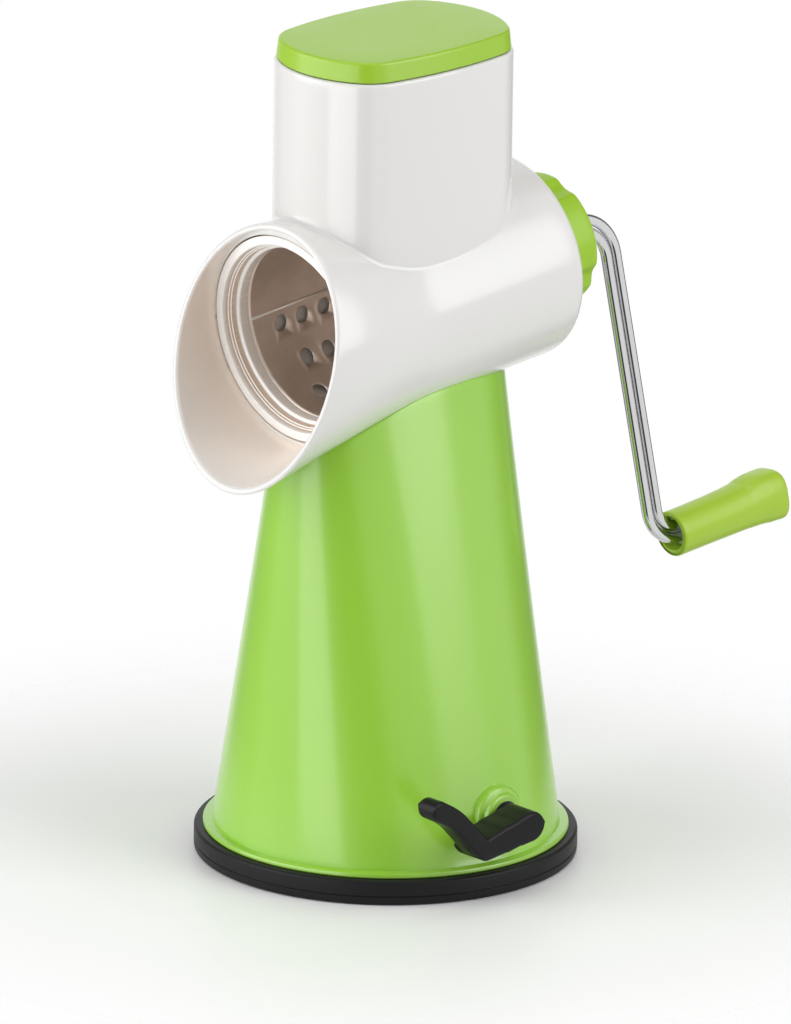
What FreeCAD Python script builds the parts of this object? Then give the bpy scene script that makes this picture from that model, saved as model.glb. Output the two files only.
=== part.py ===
"""A hand-cranked rotary shredder: a stand with a suction foot, a tilted barrel with a feed chute,
a lift-out shredding drum, a crank and a pusher.

Millimetres, +Z up. The origin is the middle of the foot, on the surface that it stands on.
The crank is on the +Y side, the mouth on the -Y side and the suction lever on the +X side.
"""
import FreeCAD, Part
import math
import os
import re

import Sketcher

SIZES = {
    # suction foot
    "pad_radius": 65,
    "pad_height": 8.4,
    "pad_edge": 1.0,
    "pad_seat_radius": 52,
    "pad_bore_radius": 42,
    "pad_flange_height": 3.0,
    "clamp_ring_height": 3.0,
    "clamp_ring_gap": 0.4,
    "clamp_screw_circle": 47,
    "clamp_screw_count": 6,
    "clamp_boss_radius": 4.0,
    "clamp_boss_top": 22,
    "clamp_boss_skin": 3,
    "diaphragm_clearance": 0.4,
    "diaphragm_height": 2.4,
    "diaphragm_lift": 4.4,
    "diaphragm_float": 0.6,
    "lift_washer_radius": 14,
    "lift_washer_height": 2.0,
    # stand
    "stand_wall": 2.5,
    "lip_radius": 62,
    "lip_height": 1.8,
    "cone_radius": 59.27,
    "neck_half_width": 23.2,
    "neck_half_length": 44.9,
    "neck_top": 178,
    "floor_ring_height": 2.6,
    "floor_ring_draft": 0.5,
    "saddle_floor": 3.0,
    "saddle_gap": 0.1,
    "saddle_boss_wall": 1.0,
    "web_thickness": 3.0,
    "web_gap": 0.3,
    "web_top": 46,
    # suction lever and its cam
    "lever_axis_height": 25,
    "cam_shaft_radius": 3.5,
    "cam_shaft_tail": 3.0,
    "cam_radius": 7.5,
    "cam_throw": 2.5,
    "cam_slack": 0.8,
    "yoke_half_thickness": 6.7,
    "yoke_rim": 3.0,
    "running_gap": 0.05,
    "lever_boss_radius": 10,
    "lever_boss_face": 59.5,
    "lever_boss_root": 48,
    "cam_bush_wall": 2.0,
    "lever_gap": 0.4,
    "lever_hub_radius": 6.7,
    "lever_depth": 13.5,
    "lever_head_depth": 4,
    "lever_bar_height": 6.6,
    "lever_grip_depth": 8.5,
    "lever_grip_height": 7.2,
    "lever_elbow_out": 21,
    "lever_elbow_drop": 3.5,
    "lever_overlap": 3,
    "lever_corner_out": 34,
    "lever_corner_rise": 9.5,
    "lever_tip_out": 44,
    "lever_tip_rise": 14,
    # barrel and chute
    "axis_height": 193.9,
    "barrel_tilt": 6,
    "barrel_radius": 36,
    "barrel_rear": 56,
    "barrel_edge": 3.2,
    "barrel_wall": 2.2,
    "rear_wall": 4.0,
    "flare_back": 20,
    "flare_start": 8,
    "throat_half_width": 39,
    "throat_half_height": 40.2,
    "throat_rise": 0.6,
    "mouth_reach": 92,
    "mouth_half_width": 39,
    "mouth_half_height": 45.5,
    "mouth_drop": 2.4,
    "mouth_middle": 62.9,
    "mouth_slope": 0.38,
    "bore_radius": 33.3,
    "chute_top": 280.8,
    "chute_middle": -0.9,
    "chute_half_width": 29.5,
    "chute_half_length": 42,
    "chute_corner_width": 11.5,
    "chute_corner_length": 22.5,
    "chute_corner_radius": 16,
    "chute_wall": 2.5,
    "post_radius": 4.5,
    "post_drop": 46.2,
    "post_half_width": 11,
    "post_half_length": 22,
    # drum
    "sleeve_radius": 31,
    "sleeve_sheet": 0.6,
    "sleeve_fit": 0.05,
    "collar_wall": 1.75,
    "ring_front": 47.5,
    "ring_back": 36.5,
    "ring_front_radius": 36.3,
    "ring_back_radius": 35.6,
    "ring_seat_radius": 36.1,
    "ring_seat_gap": 0.5,
    "ring_mouth_radius": 33.2,
    "ring_step": 3.2,
    "ring_draft": 0.7,
    "ring_slope": 2.6,
    "ring_slope_rise": 0.8,
    "ring_ledge": 1.8,
    "collar_length": 8.5,
    "sleeve_end": 46,
    "drum_hub_face": 48.2,
    "drum_hub_web": 2.2,
    "drum_socket_radius": 9.5,
    "drum_socket_front": 34,
    "tooth_hole_radius": 2.8,
    "tooth_columns": 7,
    "plain_columns": 1,
    "tooth_rows": 13,
    "tooth_row_pitch": 4.9,
    "tooth_first_row": -24.5,
    "tooth_turn": -2.4,
    # drive
    "shaft_radius": 6,
    "hex_flats": 10,
    "hex_gap": 0.12,
    "hex_front": 38.5,
    "clip_front": 48.5,
    "clip_thickness": 0.8,
    "clip_groove_radius": 5.1,
    "clip_radius": 8.6,
    "bush_wall": 2.0,
    "bush_flange_radius": 12,
    "bush_flange": 2.4,
    "bush_end": 57.6,
    "flange_front": 58.3,
    "flange_height": 2.5,
    "flange_radius": 14,
    "hub_front": 58,
    "hub_back": 74,
    "hub_radius": 22.8,
    "hub_wall": 1.5,
    "hub_rim_wall": 3.3,
    "hub_boss_wall": 2.4,
    "hub_edge": 1.5,
    "hub_notch_radius": 8,
    "hub_notch_depth": 1.3,
    "hub_notch_turn": 59,
    "hub_lobes": 4,
    "hub_screw_circle": 10.3,
    "hub_screw_count": 3,
    # crank wire and grip
    "wire_radius": 1.95,
    "wire_spacing": 4.2,
    "wire_start": 60.5,
    "wire_top_bend": 11.8,
    "wire_foot_bend": 8,
    "wire_angle": 7.6,
    "wire_fold": 146,
    "arm_offset": 98,
    "arm_length": 115.5,
    "core_front": 109,
    "core_back": 150,
    "core_radius": 5.2,
    "core_ridge": 0.5,
    "core_ridge_width": 2.5,
    "core_ridge_gap": 0.4,
    "grip_front": 104.5,
    "grip_waist": 136,
    "grip_back": 144,
    "grip_end": 153.5,
    "grip_front_radius": 7.8,
    "grip_waist_radius": 7.9,
    "grip_back_radius": 9.0,
    "grip_end_radius": 7.8,
    "grip_mouth_radius": 5.95,
    "grip_gap": 0.1,
    "grip_end_gap": 0.5,
    "grip_edge": 3,
    "grip_mouth_depth": 3,
    # pusher
    "pusher_gap": 0.6,
    "pusher_wall": 2.0,
    "pusher_floor": 2.5,
    "pusher_bottom": 231.5,
    "pusher_rest": 0.3,
    "cap_inset": 0.8,
    "cap_height": 7.4,
    "cap_edge": 1.2,
    "cap_plug": 4.0,
    # screws
    "screw_radius": 1.5,
    "screw_head_radius": 3.0,
    "screw_head_height": 1.5,
    "screw_hole_gap": 0.2,
    "screw_bite": 8,
    "screw_end_gap": 0.5,
    "hub_screw_radius": 1.2,
    "hub_screw_bite": 4,
    "housing_washer_radius": 7,
    "housing_washer_height": 1.6,
    # drawing
    "cut_over": 1,
    "oval_squash": 0.0001,
}

BARREL = "placement(vector(0; 0; axis_height); rotation(vector(1; 0; 0); barrel_tilt))"
ARM = BARREL + " * placement(vector(0; 0; 0); rotation(vector(0; -1; 0); wire_angle))"
GRIP = ARM + " * placement(vector(0; 0; -arm_length); rotation(vector(0; 1; 0); 0))"
LEVER = "placement(vector(0; 0; lever_axis_height); rotation(vector(1; 0; 0); 0))"
WORLD = "placement(vector(0; 0; 0); rotation(vector(0; 0; 1); 0))"

doc = FreeCAD.newDocument("RotaryShredder")
sheet = doc.addObject("Spreadsheet::Sheet", "sizes")
for row, (alias, number) in enumerate(SIZES.items(), start=1):
    sheet.set(f"A{row}", alias)
    sheet.set(f"B{row}", str(number))
    sheet.setAlias(f"B{row}", alias)
doc.recompute()


def formula(text):
    """An expression in which each size's name is written as a cell of the sheet."""
    return re.sub(r"[a-z]\w*", lambda word: "sizes." * (word[0] in SIZES) + word[0], str(text))


def value(text):
    """The number that an expression gives now."""
    return float(sheet.evalExpression(formula(text)))


def count(alias):
    return int(value(alias))


def bind(thing, **properties):
    for name, text in properties.items():
        thing.setExpression(name.replace("__", "."), formula(text))
    return thing


# ---- drawing ----

def new_body(name, place=WORLD):
    return bind(doc.addObject("PartDesign::Body", name), Placement=place)


def new_sketch(body, plane, lift="0"):
    """A sketch on one of the body's own planes, moved along the plane's normal."""
    drawing = body.newObject("Sketcher::SketchObject", f"{body.Name}_sketch")
    flat = next(part for part in body.Origin.OriginFeatures if part.Role == plane)
    drawing.AttachmentSupport = [(flat, "")]
    drawing.MapMode = "FlatFace"
    return bind(drawing, AttachmentOffset__Base__z=lift)


def fix_point(drawing, element, end, corner):
    """Ties one point of a sketch to the sketch's origin by two bound distances."""
    for kind, distance in zip(("DistanceX", "DistanceY"), corner):
        rule = Sketcher.Constraint(kind, -1, 1, element, end, value(distance))
        index = drawing.addConstraint(rule)
        drawing.setExpression(f"Constraints[{index}]", formula(distance))


def fix_radius(drawing, element, radius):
    index = drawing.addConstraint(Sketcher.Constraint("Radius", element, value(radius)))
    drawing.setExpression(f"Constraints[{index}]", formula(radius))


def draw_arc(drawing, first, last, radius, side):
    """An arc from first to last, its centre on the left (side 1) or the right (side -1)."""
    chord = last - first
    left = FreeCAD.Vector(-chord.y, chord.x, 0).normalize()
    rise = math.sqrt(max(value(radius) ** 2 - (chord.Length / 2) ** 2, 0))
    centre = (first + last) / 2 + left * rise * side
    start, stop = (first, last) if side > 0 else (last, first)
    angles = [math.atan2(point.y - centre.y, point.x - centre.x) for point in (start, stop)]
    circle = Part.Circle(centre, FreeCAD.Vector(0, 0, 1), value(radius))
    return drawing.addGeometry(Part.ArcOfCircle(circle, *angles), False)


def draw_outline(drawing, corners, arcs=None, closed=True):
    """Lines from corner to corner, with arcs = {number of the corner it starts at: (radius, side)}."""
    arcs = arcs or {}
    points = [FreeCAD.Vector(value(x), value(y), 0) for x, y in corners]
    ends = []
    steps = len(points) if closed else len(points) - 1
    for step in range(steps):
        first, last = points[step], points[(step + 1) % len(points)]
        if step in arcs:
            radius, side = arcs[step]
            element = draw_arc(drawing, first, last, radius, side)
            ends.append((element, 1, 2) if side > 0 else (element, 2, 1))
        else:
            element = drawing.addGeometry(Part.LineSegment(first, last), False)
            ends.append((element, 1, 2))
    for step, (element, start, stop) in enumerate(ends):
        fix_point(drawing, element, start, corners[step])
        if closed or step + 1 < steps:
            following = ends[(step + 1) % steps]
            drawing.addConstraint(
                Sketcher.Constraint("Coincident", element, stop, following[0], following[1]))
        else:
            fix_point(drawing, element, stop, corners[step + 1])
        if step in arcs:
            fix_radius(drawing, element, arcs[step][0])
    return drawing


def draw_circle(drawing, radius, x="0", y="0"):
    circle = Part.Circle(FreeCAD.Vector(value(x), value(y), 0), FreeCAD.Vector(0, 0, 1), value(radius))
    element = drawing.addGeometry(circle, False)
    fix_point(drawing, element, 3, (x, y))
    fix_radius(drawing, element, radius)
    return drawing


def feature(body, kind, drawing, **properties):
    made = body.newObject(f"PartDesign::{kind}", f"{body.Name}_{kind.lower()}")
    made.Profile = drawing
    doc.recompute()
    return bind(made, **properties)


def revolve(name, place, plane, axis, corners, arcs=None):
    """A body turned from one outline about an axis of its sketch."""
    body = new_body(name, place)
    drawing = draw_outline(new_sketch(body, plane), corners, arcs)
    turned = feature(body, "Revolution", drawing)
    turned.ReferenceAxis = (drawing, [axis])
    turned.Angle = 360
    return body


def upright(name, corners, place=WORLD):
    """A piece turned about the vertical axis, from corners (radius, height)."""
    return revolve(name, place, "XZ_Plane", "V_Axis", corners)


def along_barrel(name, corners, arcs=None, place=BARREL):
    """A piece turned about the barrel's axis, from corners (distance back, radius)."""
    return revolve(name, place, "YZ_Plane", "H_Axis", corners, arcs)


def along_lever(name, corners):
    """A piece turned about the lever's axis, from corners (distance out, radius)."""
    return revolve(name, LEVER, "XZ_Plane", "H_Axis", corners)


def drill(body, plane, lift, depth, radius, circle, number, axis, turn="0"):
    """Holes on a circle about an axis of the body, each from a plane against its normal."""
    across, up = f"({circle}) * cos(({turn}) * 1deg)", f"({circle}) * sin(({turn}) * 1deg)"
    drawing = draw_circle(new_sketch(body, plane, lift), radius, across, up)
    pocket = feature(body, "Pocket", drawing, Length=depth)
    pattern = body.newObject("PartDesign::PolarPattern", f"{body.Name}_pattern")
    pattern.Originals = [pocket]
    pattern.Axis = (next(part for part in body.Origin.OriginFeatures if part.Role == axis), [""])
    pattern.Angle = 360
    bind(pattern, Occurrences=number)
    body.Tip = pattern


def cylinder(name, radius, height, place):
    return bind(doc.addObject("Part::Cylinder", name), Radius=radius, Height=height, Placement=place)


def joined(name, pieces):
    made = doc.addObject("Part::MultiFuse", name)
    made.Shapes = pieces
    return made


def cut(name, base, *tools):
    made = doc.addObject("Part::Cut", name)
    made.Base = base
    made.Tool = tools[0] if len(tools) == 1 else joined(f"{name}_tools", list(tools))
    return made


def group(name, pieces):
    made = doc.addObject("Part::Compound", name)
    made.Links = pieces
    return made


def screw(name, place, plane, shank, length):
    """A screw from the flat of its head, with its shank along the sketch's second direction."""
    return revolve(name, place, plane, "V_Axis", [
        ("0", "0"), ("screw_head_radius", "0"), ("screw_head_radius", "screw_head_height"),
        (shank, "screw_head_height"), (shank, length), ("0", length)])


# ---- suction foot ----

SEAT_BOTTOM = "(pad_height - pad_flange_height)"
CLAMP_BOTTOM = f"({SEAT_BOTTOM} - clamp_ring_height)"
CLAMP_HOLE = "(screw_radius + screw_hole_gap)"
DIAPHRAGM_BOTTOM = "(diaphragm_lift + diaphragm_float)"
DIAPHRAGM_TOP = f"({DIAPHRAGM_BOTTOM} + diaphragm_height)"
YOKE_BOTTOM = f"({DIAPHRAGM_TOP} + lift_washer_height)"
CLAMP_TURN = "180 / clamp_screw_count"


def make_suction_pad():
    """The rubber foot: a flat ring that stands on the table, with a flange turned in at the top."""
    pad = upright("suction_pad", [
        ("pad_seat_radius", "0"), ("pad_radius - pad_edge", "0"), ("pad_radius", "pad_edge"),
        ("pad_radius", "pad_height - pad_edge"), ("pad_radius - pad_edge", "pad_height"),
        ("pad_bore_radius", "pad_height"), ("pad_bore_radius", SEAT_BOTTOM),
        ("pad_seat_radius", SEAT_BOTTOM)])
    drill(pad, "XY_Plane", "pad_height", "pad_flange_height", CLAMP_HOLE, "clamp_screw_circle",
          "clamp_screw_count", "Z_Axis", CLAMP_TURN)
    return pad


def make_clamp_ring():
    """The ring that clamps the foot's flange up against the stand."""
    outer, inner = "pad_seat_radius - clamp_ring_gap", "pad_bore_radius + clamp_ring_gap"
    ring = upright("pad_clamp_ring", [
        (inner, CLAMP_BOTTOM), (outer, CLAMP_BOTTOM), (outer, SEAT_BOTTOM), (inner, SEAT_BOTTOM)])
    place = ("clamp_screw_circle", "clamp_screw_count", "Z_Axis", CLAMP_TURN)
    drill(ring, "XY_Plane", SEAT_BOTTOM, "clamp_ring_height", CLAMP_HOLE, *place)
    drill(ring, "XY_Plane", f"{CLAMP_BOTTOM} + screw_head_height", "clamp_ring_height",
          "screw_head_radius + screw_hole_gap", *place)
    return ring


def clamp_screw_place(index):
    turn = f"rotation(vector(0; 0; 1); ({CLAMP_TURN}) + {index} * 360 / clamp_screw_count)"
    return (f"placement(vector(0; 0; 0); {turn}) * "
            f"placement(vector(clamp_screw_circle; 0; {CLAMP_BOTTOM}); rotation(vector(0; 0; 1); 0))")


def make_clamp_ring_screws():
    """The screws that go up through the ring and the rubber into the stand's bosses."""
    length = f"clamp_boss_top - clamp_boss_skin - {CLAMP_BOTTOM}"
    return group("clamp_ring_screws", [
        screw(f"clamp_screw_{index}", clamp_screw_place(index), "XZ_Plane", "screw_radius", length)
        for index in range(count("clamp_screw_count"))])


def make_diaphragm():
    """The rubber middle of the foot, which the lever lifts off the table."""
    radius = "(pad_bore_radius - diaphragm_clearance)"
    recess = f"({DIAPHRAGM_BOTTOM} + screw_head_height)"
    return upright("pad_diaphragm", [
        ("screw_head_radius + screw_hole_gap", DIAPHRAGM_BOTTOM), (radius, DIAPHRAGM_BOTTOM),
        (radius, DIAPHRAGM_TOP), ("screw_radius", DIAPHRAGM_TOP), ("screw_radius", recess),
        ("screw_head_radius + screw_hole_gap", recess)])


def make_lift_washer():
    """The steel disc bonded to the rubber, which spreads the pull."""
    return upright("lift_washer", [
        ("screw_radius", DIAPHRAGM_TOP), ("lift_washer_radius", DIAPHRAGM_TOP),
        ("lift_washer_radius", YOKE_BOTTOM), ("screw_radius", YOKE_BOTTOM)])


def make_lift_screw():
    place = f"placement(vector(0; 0; {DIAPHRAGM_BOTTOM}); rotation(vector(0; 0; 1); 0))"
    return screw("lift_screw", place, "XZ_Plane", "screw_radius",
                 f"{YOKE_BOTTOM} - {DIAPHRAGM_BOTTOM} + screw_bite")


def make_lift_yoke():
    """The slotted slider between the stand's webs, which the cam carries up and down."""
    middle = "(lever_axis_height + cam_throw)"
    slot_half_height = "(cam_radius + cam_slack)"
    slot_half_width = "(cam_radius + cam_throw + cam_slack)"
    half_width = f"({slot_half_width} + yoke_rim)"
    top = f"({middle} + {slot_half_height} + yoke_rim)"
    body = new_body("lift_yoke")
    block = draw_outline(new_sketch(body, "YZ_Plane", "-yoke_half_thickness"), [
        (f"-{half_width}", YOKE_BOTTOM), (half_width, YOKE_BOTTOM), (half_width, top),
        (f"-{half_width}", top)])
    draw_outline(block, [
        (f"-{slot_half_width}", f"{middle} - {slot_half_height}"),
        (slot_half_width, f"{middle} - {slot_half_height}"),
        (slot_half_width, f"{middle} + {slot_half_height}"),
        (f"-{slot_half_width}", f"{middle} + {slot_half_height}")])
    feature(body, "Pad", block, Length="2 * yoke_half_thickness")
    hole = draw_circle(new_sketch(body, "XY_Plane", f"{YOKE_BOTTOM} + screw_bite + screw_end_gap"),
                       "screw_radius")
    feature(body, "Pocket", hole, Length="screw_bite + screw_end_gap")
    return body


# ---- suction lever ----

LEVER_FACE = "(lever_boss_face + lever_gap)"
LEVER_END = f"({LEVER_FACE} + lever_depth)"
SHAFT_END = f"({LEVER_END} - lever_head_depth)"


def make_cam_shaft():
    """The steel shaft from the lever through the stand's wall and both webs."""
    tail = "yoke_half_thickness + web_gap + web_thickness + cam_shaft_tail"
    return along_lever("cam_shaft", [
        (f"-({tail})", "0"), (f"-({tail})", "cam_shaft_radius"), (SHAFT_END, "cam_shaft_radius"),
        (SHAFT_END, "screw_radius"), (f"{SHAFT_END} - screw_bite", "screw_radius"),
        (f"{SHAFT_END} - screw_bite", "0")])


def make_lift_cam():
    """The eccentric disc on the shaft, at the top of its throw while the foot holds."""
    body = new_body("lift_cam", LEVER)
    half = "(yoke_half_thickness - web_gap)"
    disc = draw_circle(new_sketch(body, "YZ_Plane", f"-{half}"), "cam_radius", "0", "cam_throw")
    draw_circle(disc, "cam_shaft_radius")
    feature(body, "Pad", disc, Length=f"2 * {half}")
    return body


def make_cam_bush():
    bore, outer = "cam_shaft_radius + running_gap", "cam_shaft_radius + cam_bush_wall"
    return along_lever("cam_bush", [
        ("lever_boss_root", bore), ("lever_boss_root", outer), ("lever_boss_face", outer),
        ("lever_boss_face", bore)])


def lever_bar(body, name, height, depth, corners):
    """A bar that follows a bent centreline, its outer side flush with the lever's outer face."""
    path = draw_outline(new_sketch(body, "YZ_Plane", f"{LEVER_END} - {depth} / 2"), corners,
                        closed=False)
    block = new_sketch(body, "XZ_Plane", f"-({corners[0][0]})")
    low, high = f"({corners[0][1]}) - {height} / 2", f"({corners[0][1]}) + {height} / 2"
    draw_outline(block, [(f"{LEVER_END} - {depth}", low), (LEVER_END, low), (LEVER_END, high),
                         (f"{LEVER_END} - {depth}", high)])
    bar = body.newObject("PartDesign::AdditivePipe", name)
    bar.Profile = block
    bar.Spine = (path, [f"Edge{edge + 1}" for edge in range(len(corners) - 1)])
    bar.Transition = "Right corner"
    return bar


def make_lever_arm():
    """The moulded lever: a round hub, a bar along the foot and a raised finger grip."""
    body = new_body("lever_arm", LEVER)
    hub = draw_circle(new_sketch(body, "YZ_Plane", LEVER_FACE), "lever_hub_radius")
    feature(body, "Pad", hub, Length="lever_depth")
    elbow = ("-lever_elbow_out", "-lever_elbow_drop")
    lever_bar(body, "lever_bar", "lever_bar_height", "lever_depth", [("0", "0"), elbow])
    slope = "lever_elbow_drop / lever_elbow_out"
    lever_bar(body, "lever_grip", "lever_grip_height", "lever_grip_depth", [
        (f"{elbow[0]} + lever_overlap", f"{elbow[1]} + lever_overlap * {slope}"), elbow,
        ("-lever_corner_out", "lever_corner_rise"), ("-lever_tip_out", "lever_tip_rise")])
    bore = draw_circle(new_sketch(body, "YZ_Plane", SHAFT_END), "cam_shaft_radius")
    feature(body, "Pocket", bore, Length="2 * lever_depth")
    passage = draw_circle(new_sketch(body, "YZ_Plane", LEVER_END), CLAMP_HOLE)
    feature(body, "Pocket", passage, Length="lever_head_depth")
    sink = draw_circle(new_sketch(body, "YZ_Plane", LEVER_END), "screw_head_radius + screw_hole_gap")
    feature(body, "Pocket", sink, Length="screw_head_height")
    return body


def make_lever_screw():
    head = f"({LEVER_END} - screw_head_height)"
    end = f"({SHAFT_END} - screw_bite + screw_end_gap)"
    return along_lever("lever_screw", [
        (LEVER_END, "0"), (LEVER_END, "screw_head_radius"), (head, "screw_head_radius"),
        (head, "screw_radius"), (end, "screw_radius"), (end, "0")])


# ---- barrel housing ----

def barrel_section(name, back, half_width, half_height, rise):
    """An upright oval across the barrel, at a distance along its axis."""
    place = (f"{BARREL} * placement(vector(0; {back}; {rise}); rotation(vector(1; 0; 0); 90))"
             " * placement(vector(0; 0; 0); rotation(vector(0; 0; 1); 90))")
    return bind(doc.addObject("Part::Ellipse", name), MajorRadius=half_height,
                MinorRadius=f"{half_width} - oval_squash", Placement=place)


def barrel_flare(name, growth, stations):
    """A smooth skin through ovals at (name, distance back, half width, half height, rise)."""
    skin = doc.addObject("Part::Loft", name)
    skin.Sections = [
        barrel_section(f"{name}_{label}", back, f"({width} + {growth})", f"({height} + {growth})", rise)
        for label, back, width, height, rise in stations]
    skin.Solid = True
    return skin


THROAT = ("throat", "-ring_front", "throat_half_width", "throat_half_height", "throat_rise")
MOUTH = ("mouth", "-mouth_reach", "mouth_half_width", "mouth_half_height", "-mouth_drop")


def make_barrel_form(name, growth):
    """The barrel's outside: a round drum that swells to an oval mouth, grown by a distance."""
    rear, side = f"(barrel_rear + {growth})", f"(barrel_radius + {growth})"
    drum = along_barrel(f"{name}_drum", [
        (rear, "0"), (rear, f"{side} - barrel_edge"), (f"{rear} - barrel_edge", side),
        ("flare_back", side), ("flare_back", "0")], {1: ("barrel_edge", 1)})
    flare = barrel_flare(f"{name}_flare", growth, [
        ("back", "flare_back", "barrel_radius", "barrel_radius", "0"),
        ("start", "-flare_start", "barrel_radius", "barrel_radius", "0"), THROAT, MOUTH])
    return joined(name, [drum, flare])


def oval(inset):
    """The chute's plan: a bulged rectangle of eight tangent arcs, moved inwards by a distance."""
    width, length = "(chute_half_width - chute_corner_width)", "(chute_half_length - chute_corner_length)"
    radius, across, along = "chute_corner_radius", "chute_corner_width", "chute_corner_length"
    side = f"(({width}^2 + {along}^2 - {radius}^2) / (2 * ({width} - {radius})))"
    end = f"(({length}^2 + {across}^2 - {radius}^2) / (2 * ({length} - {radius})))"
    reach = f"({radius} - {inset})"
    side_point = (f"{across} + {reach} * ({side} - {width}) / ({side} - {radius})",
                  f"{along} + {reach} * {along} / ({side} - {radius})")
    end_point = (f"{across} + {reach} * {across} / ({end} - {radius})",
                 f"{along} + {reach} * ({end} - {length}) / ({end} - {radius})")
    corners = []
    for right, back, pair in ((1, 1, (side_point, end_point)), (-1, 1, (end_point, side_point)),
                              (-1, -1, (side_point, end_point)), (1, -1, (end_point, side_point))):
        corners += [(f"{right} * ({x})", f"chute_middle + {back} * ({y})") for x, y in pair]
    corner, long_side, short_side = (reach, 1), (f"{side} - {inset}", 1), (f"{end} - {inset}", 1)
    arcs = {0: corner, 1: short_side, 2: corner, 3: long_side, 4: corner, 5: short_side, 6: corner,
            7: long_side}
    return corners, arcs


def oval_pad(name, inset, bottom, top):
    body = new_body(name)
    drawing = draw_outline(new_sketch(body, "XY_Plane", bottom), *oval(inset))
    feature(body, "Pad", drawing, Length=f"({top}) - ({bottom})")
    return body


def post_place(index, drop):
    """Where a screw post stands under the barrel, at a depth below the barrel's axis."""
    across = ("-", "")[index % 2] + "post_half_width"
    along = ("-", "")[index // 2] + "post_half_length"
    return (BARREL + f" * placement(vector({across}; {along}; -({drop}));"
            " rotation(vector(0; 0; 1); 0))")


def four_cylinders(name, radius, height, drop):
    return [cylinder(f"{name}_{index}", radius, height, post_place(index, drop)) for index in range(4)]


def make_barrel_housing():
    """The white barrel with its slanted mouth, rear wall, feed chute and four screw posts."""
    wedge = new_body("mouth_wedge", BARREL)
    high, low = "mouth_reach", "-mouth_reach"
    drawing = draw_outline(new_sketch(wedge, "YZ_Plane", "-mouth_reach"), [
        (f"-mouth_middle + mouth_slope * {low}", low), (f"-mouth_middle + mouth_slope * {high}", high),
        ("-2 * mouth_reach", high), ("-2 * mouth_reach", low)])
    feature(wedge, "Pad", drawing, Length="2 * mouth_reach")
    barrel = cut("barrel_tube", make_barrel_form("barrel_form", "0"), wedge)
    chute = oval_pad("chute_form", "0", "axis_height", "chute_top")
    posts = four_cylinders("barrel_post", "post_radius", "post_drop - barrel_radius + barrel_wall / 2",
                           "post_drop")
    seat = "(-ring_back + ring_seat_gap)"
    ring_room = "(throat_half_width - barrel_wall)"
    hollow = along_barrel("barrel_hollow", [
        ("barrel_rear + cut_over", "0"), ("barrel_rear + cut_over", "shaft_radius + bush_wall"),
        ("barrel_rear - rear_wall", "shaft_radius + bush_wall"),
        ("barrel_rear - rear_wall", "bore_radius"), (seat, "bore_radius"), (seat, "ring_seat_radius"),
        ("-ring_front", ring_room), ("-ring_front - cut_over", ring_room),
        ("-ring_front - cut_over", "0")])
    throat_hollow = barrel_flare("throat_hollow", "-barrel_wall", [THROAT, MOUTH])
    chute_hollow = oval_pad("chute_hollow", "chute_wall", "axis_height", "chute_top + cut_over")
    holes = four_cylinders("post_hole", "screw_radius", "post_drop - barrel_radius", "post_drop")
    return cut("barrel_housing", joined("housing_form", [barrel, chute, *posts]), hollow, throat_hollow,
               chute_hollow, *holes)


def make_housing_screws():
    """The broad-headed screws that pull the barrel down onto the stand's saddle."""
    pieces = []
    for index in range(4):
        place = post_place(index, "post_drop + saddle_gap + housing_washer_height")
        pieces.append(upright(f"housing_screw_{index}", [
            ("0", "0"), ("housing_washer_radius", "0"),
            ("housing_washer_radius", "housing_washer_height"),
            ("screw_radius", "housing_washer_height"),
            ("screw_radius", "housing_washer_height + screw_bite"),
            ("0", "housing_washer_height + screw_bite")], place))
    return group("housing_screws", pieces)


# ---- stand ----

def stand_loft(name, inset, bottom):
    """The stand's tapering form, from the round foot to the long oval neck."""
    foot = bind(doc.addObject("Part::Ellipse", f"{name}_foot"), MajorRadius=f"cone_radius - {inset}",
                MinorRadius=f"cone_radius - {inset} - oval_squash",
                Placement=f"placement(vector(0; 0; {bottom}); rotation(vector(0; 0; 1); 90))")
    neck = bind(doc.addObject("Part::Ellipse", f"{name}_neck"),
                MajorRadius=f"neck_half_length - {inset}", MinorRadius=f"neck_half_width - {inset}",
                Placement="placement(vector(0; 0; neck_top); rotation(vector(0; 0; 1); 90))")
    loft = doc.addObject("Part::Loft", name)
    loft.Sections = [foot, neck]
    loft.Solid = True
    loft.Ruled = True
    return loft


def make_web(name, start):
    """An upright rib across the stand, which carries the cam shaft and guides the yoke."""
    top_half = ("(cone_radius - (cone_radius - neck_half_length) * (web_top - pad_height)"
                " / (neck_top - pad_height) - stand_wall / 2)")
    body = new_body(name)
    drawing = draw_outline(new_sketch(body, "YZ_Plane", start), [
        ("-(cone_radius - stand_wall / 2)", "pad_height + cut_over"),
        ("cone_radius - stand_wall / 2", "pad_height + cut_over"), (top_half, "web_top"),
        (f"-{top_half}", "web_top")])
    feature(body, "Pad", drawing, Length="web_thickness")
    opening = draw_circle(new_sketch(body, "XY_Plane", "pad_height + floor_ring_height"),
                          "pad_bore_radius")
    feature(body, "Pocket", opening, Length="floor_ring_height")
    return body


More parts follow.
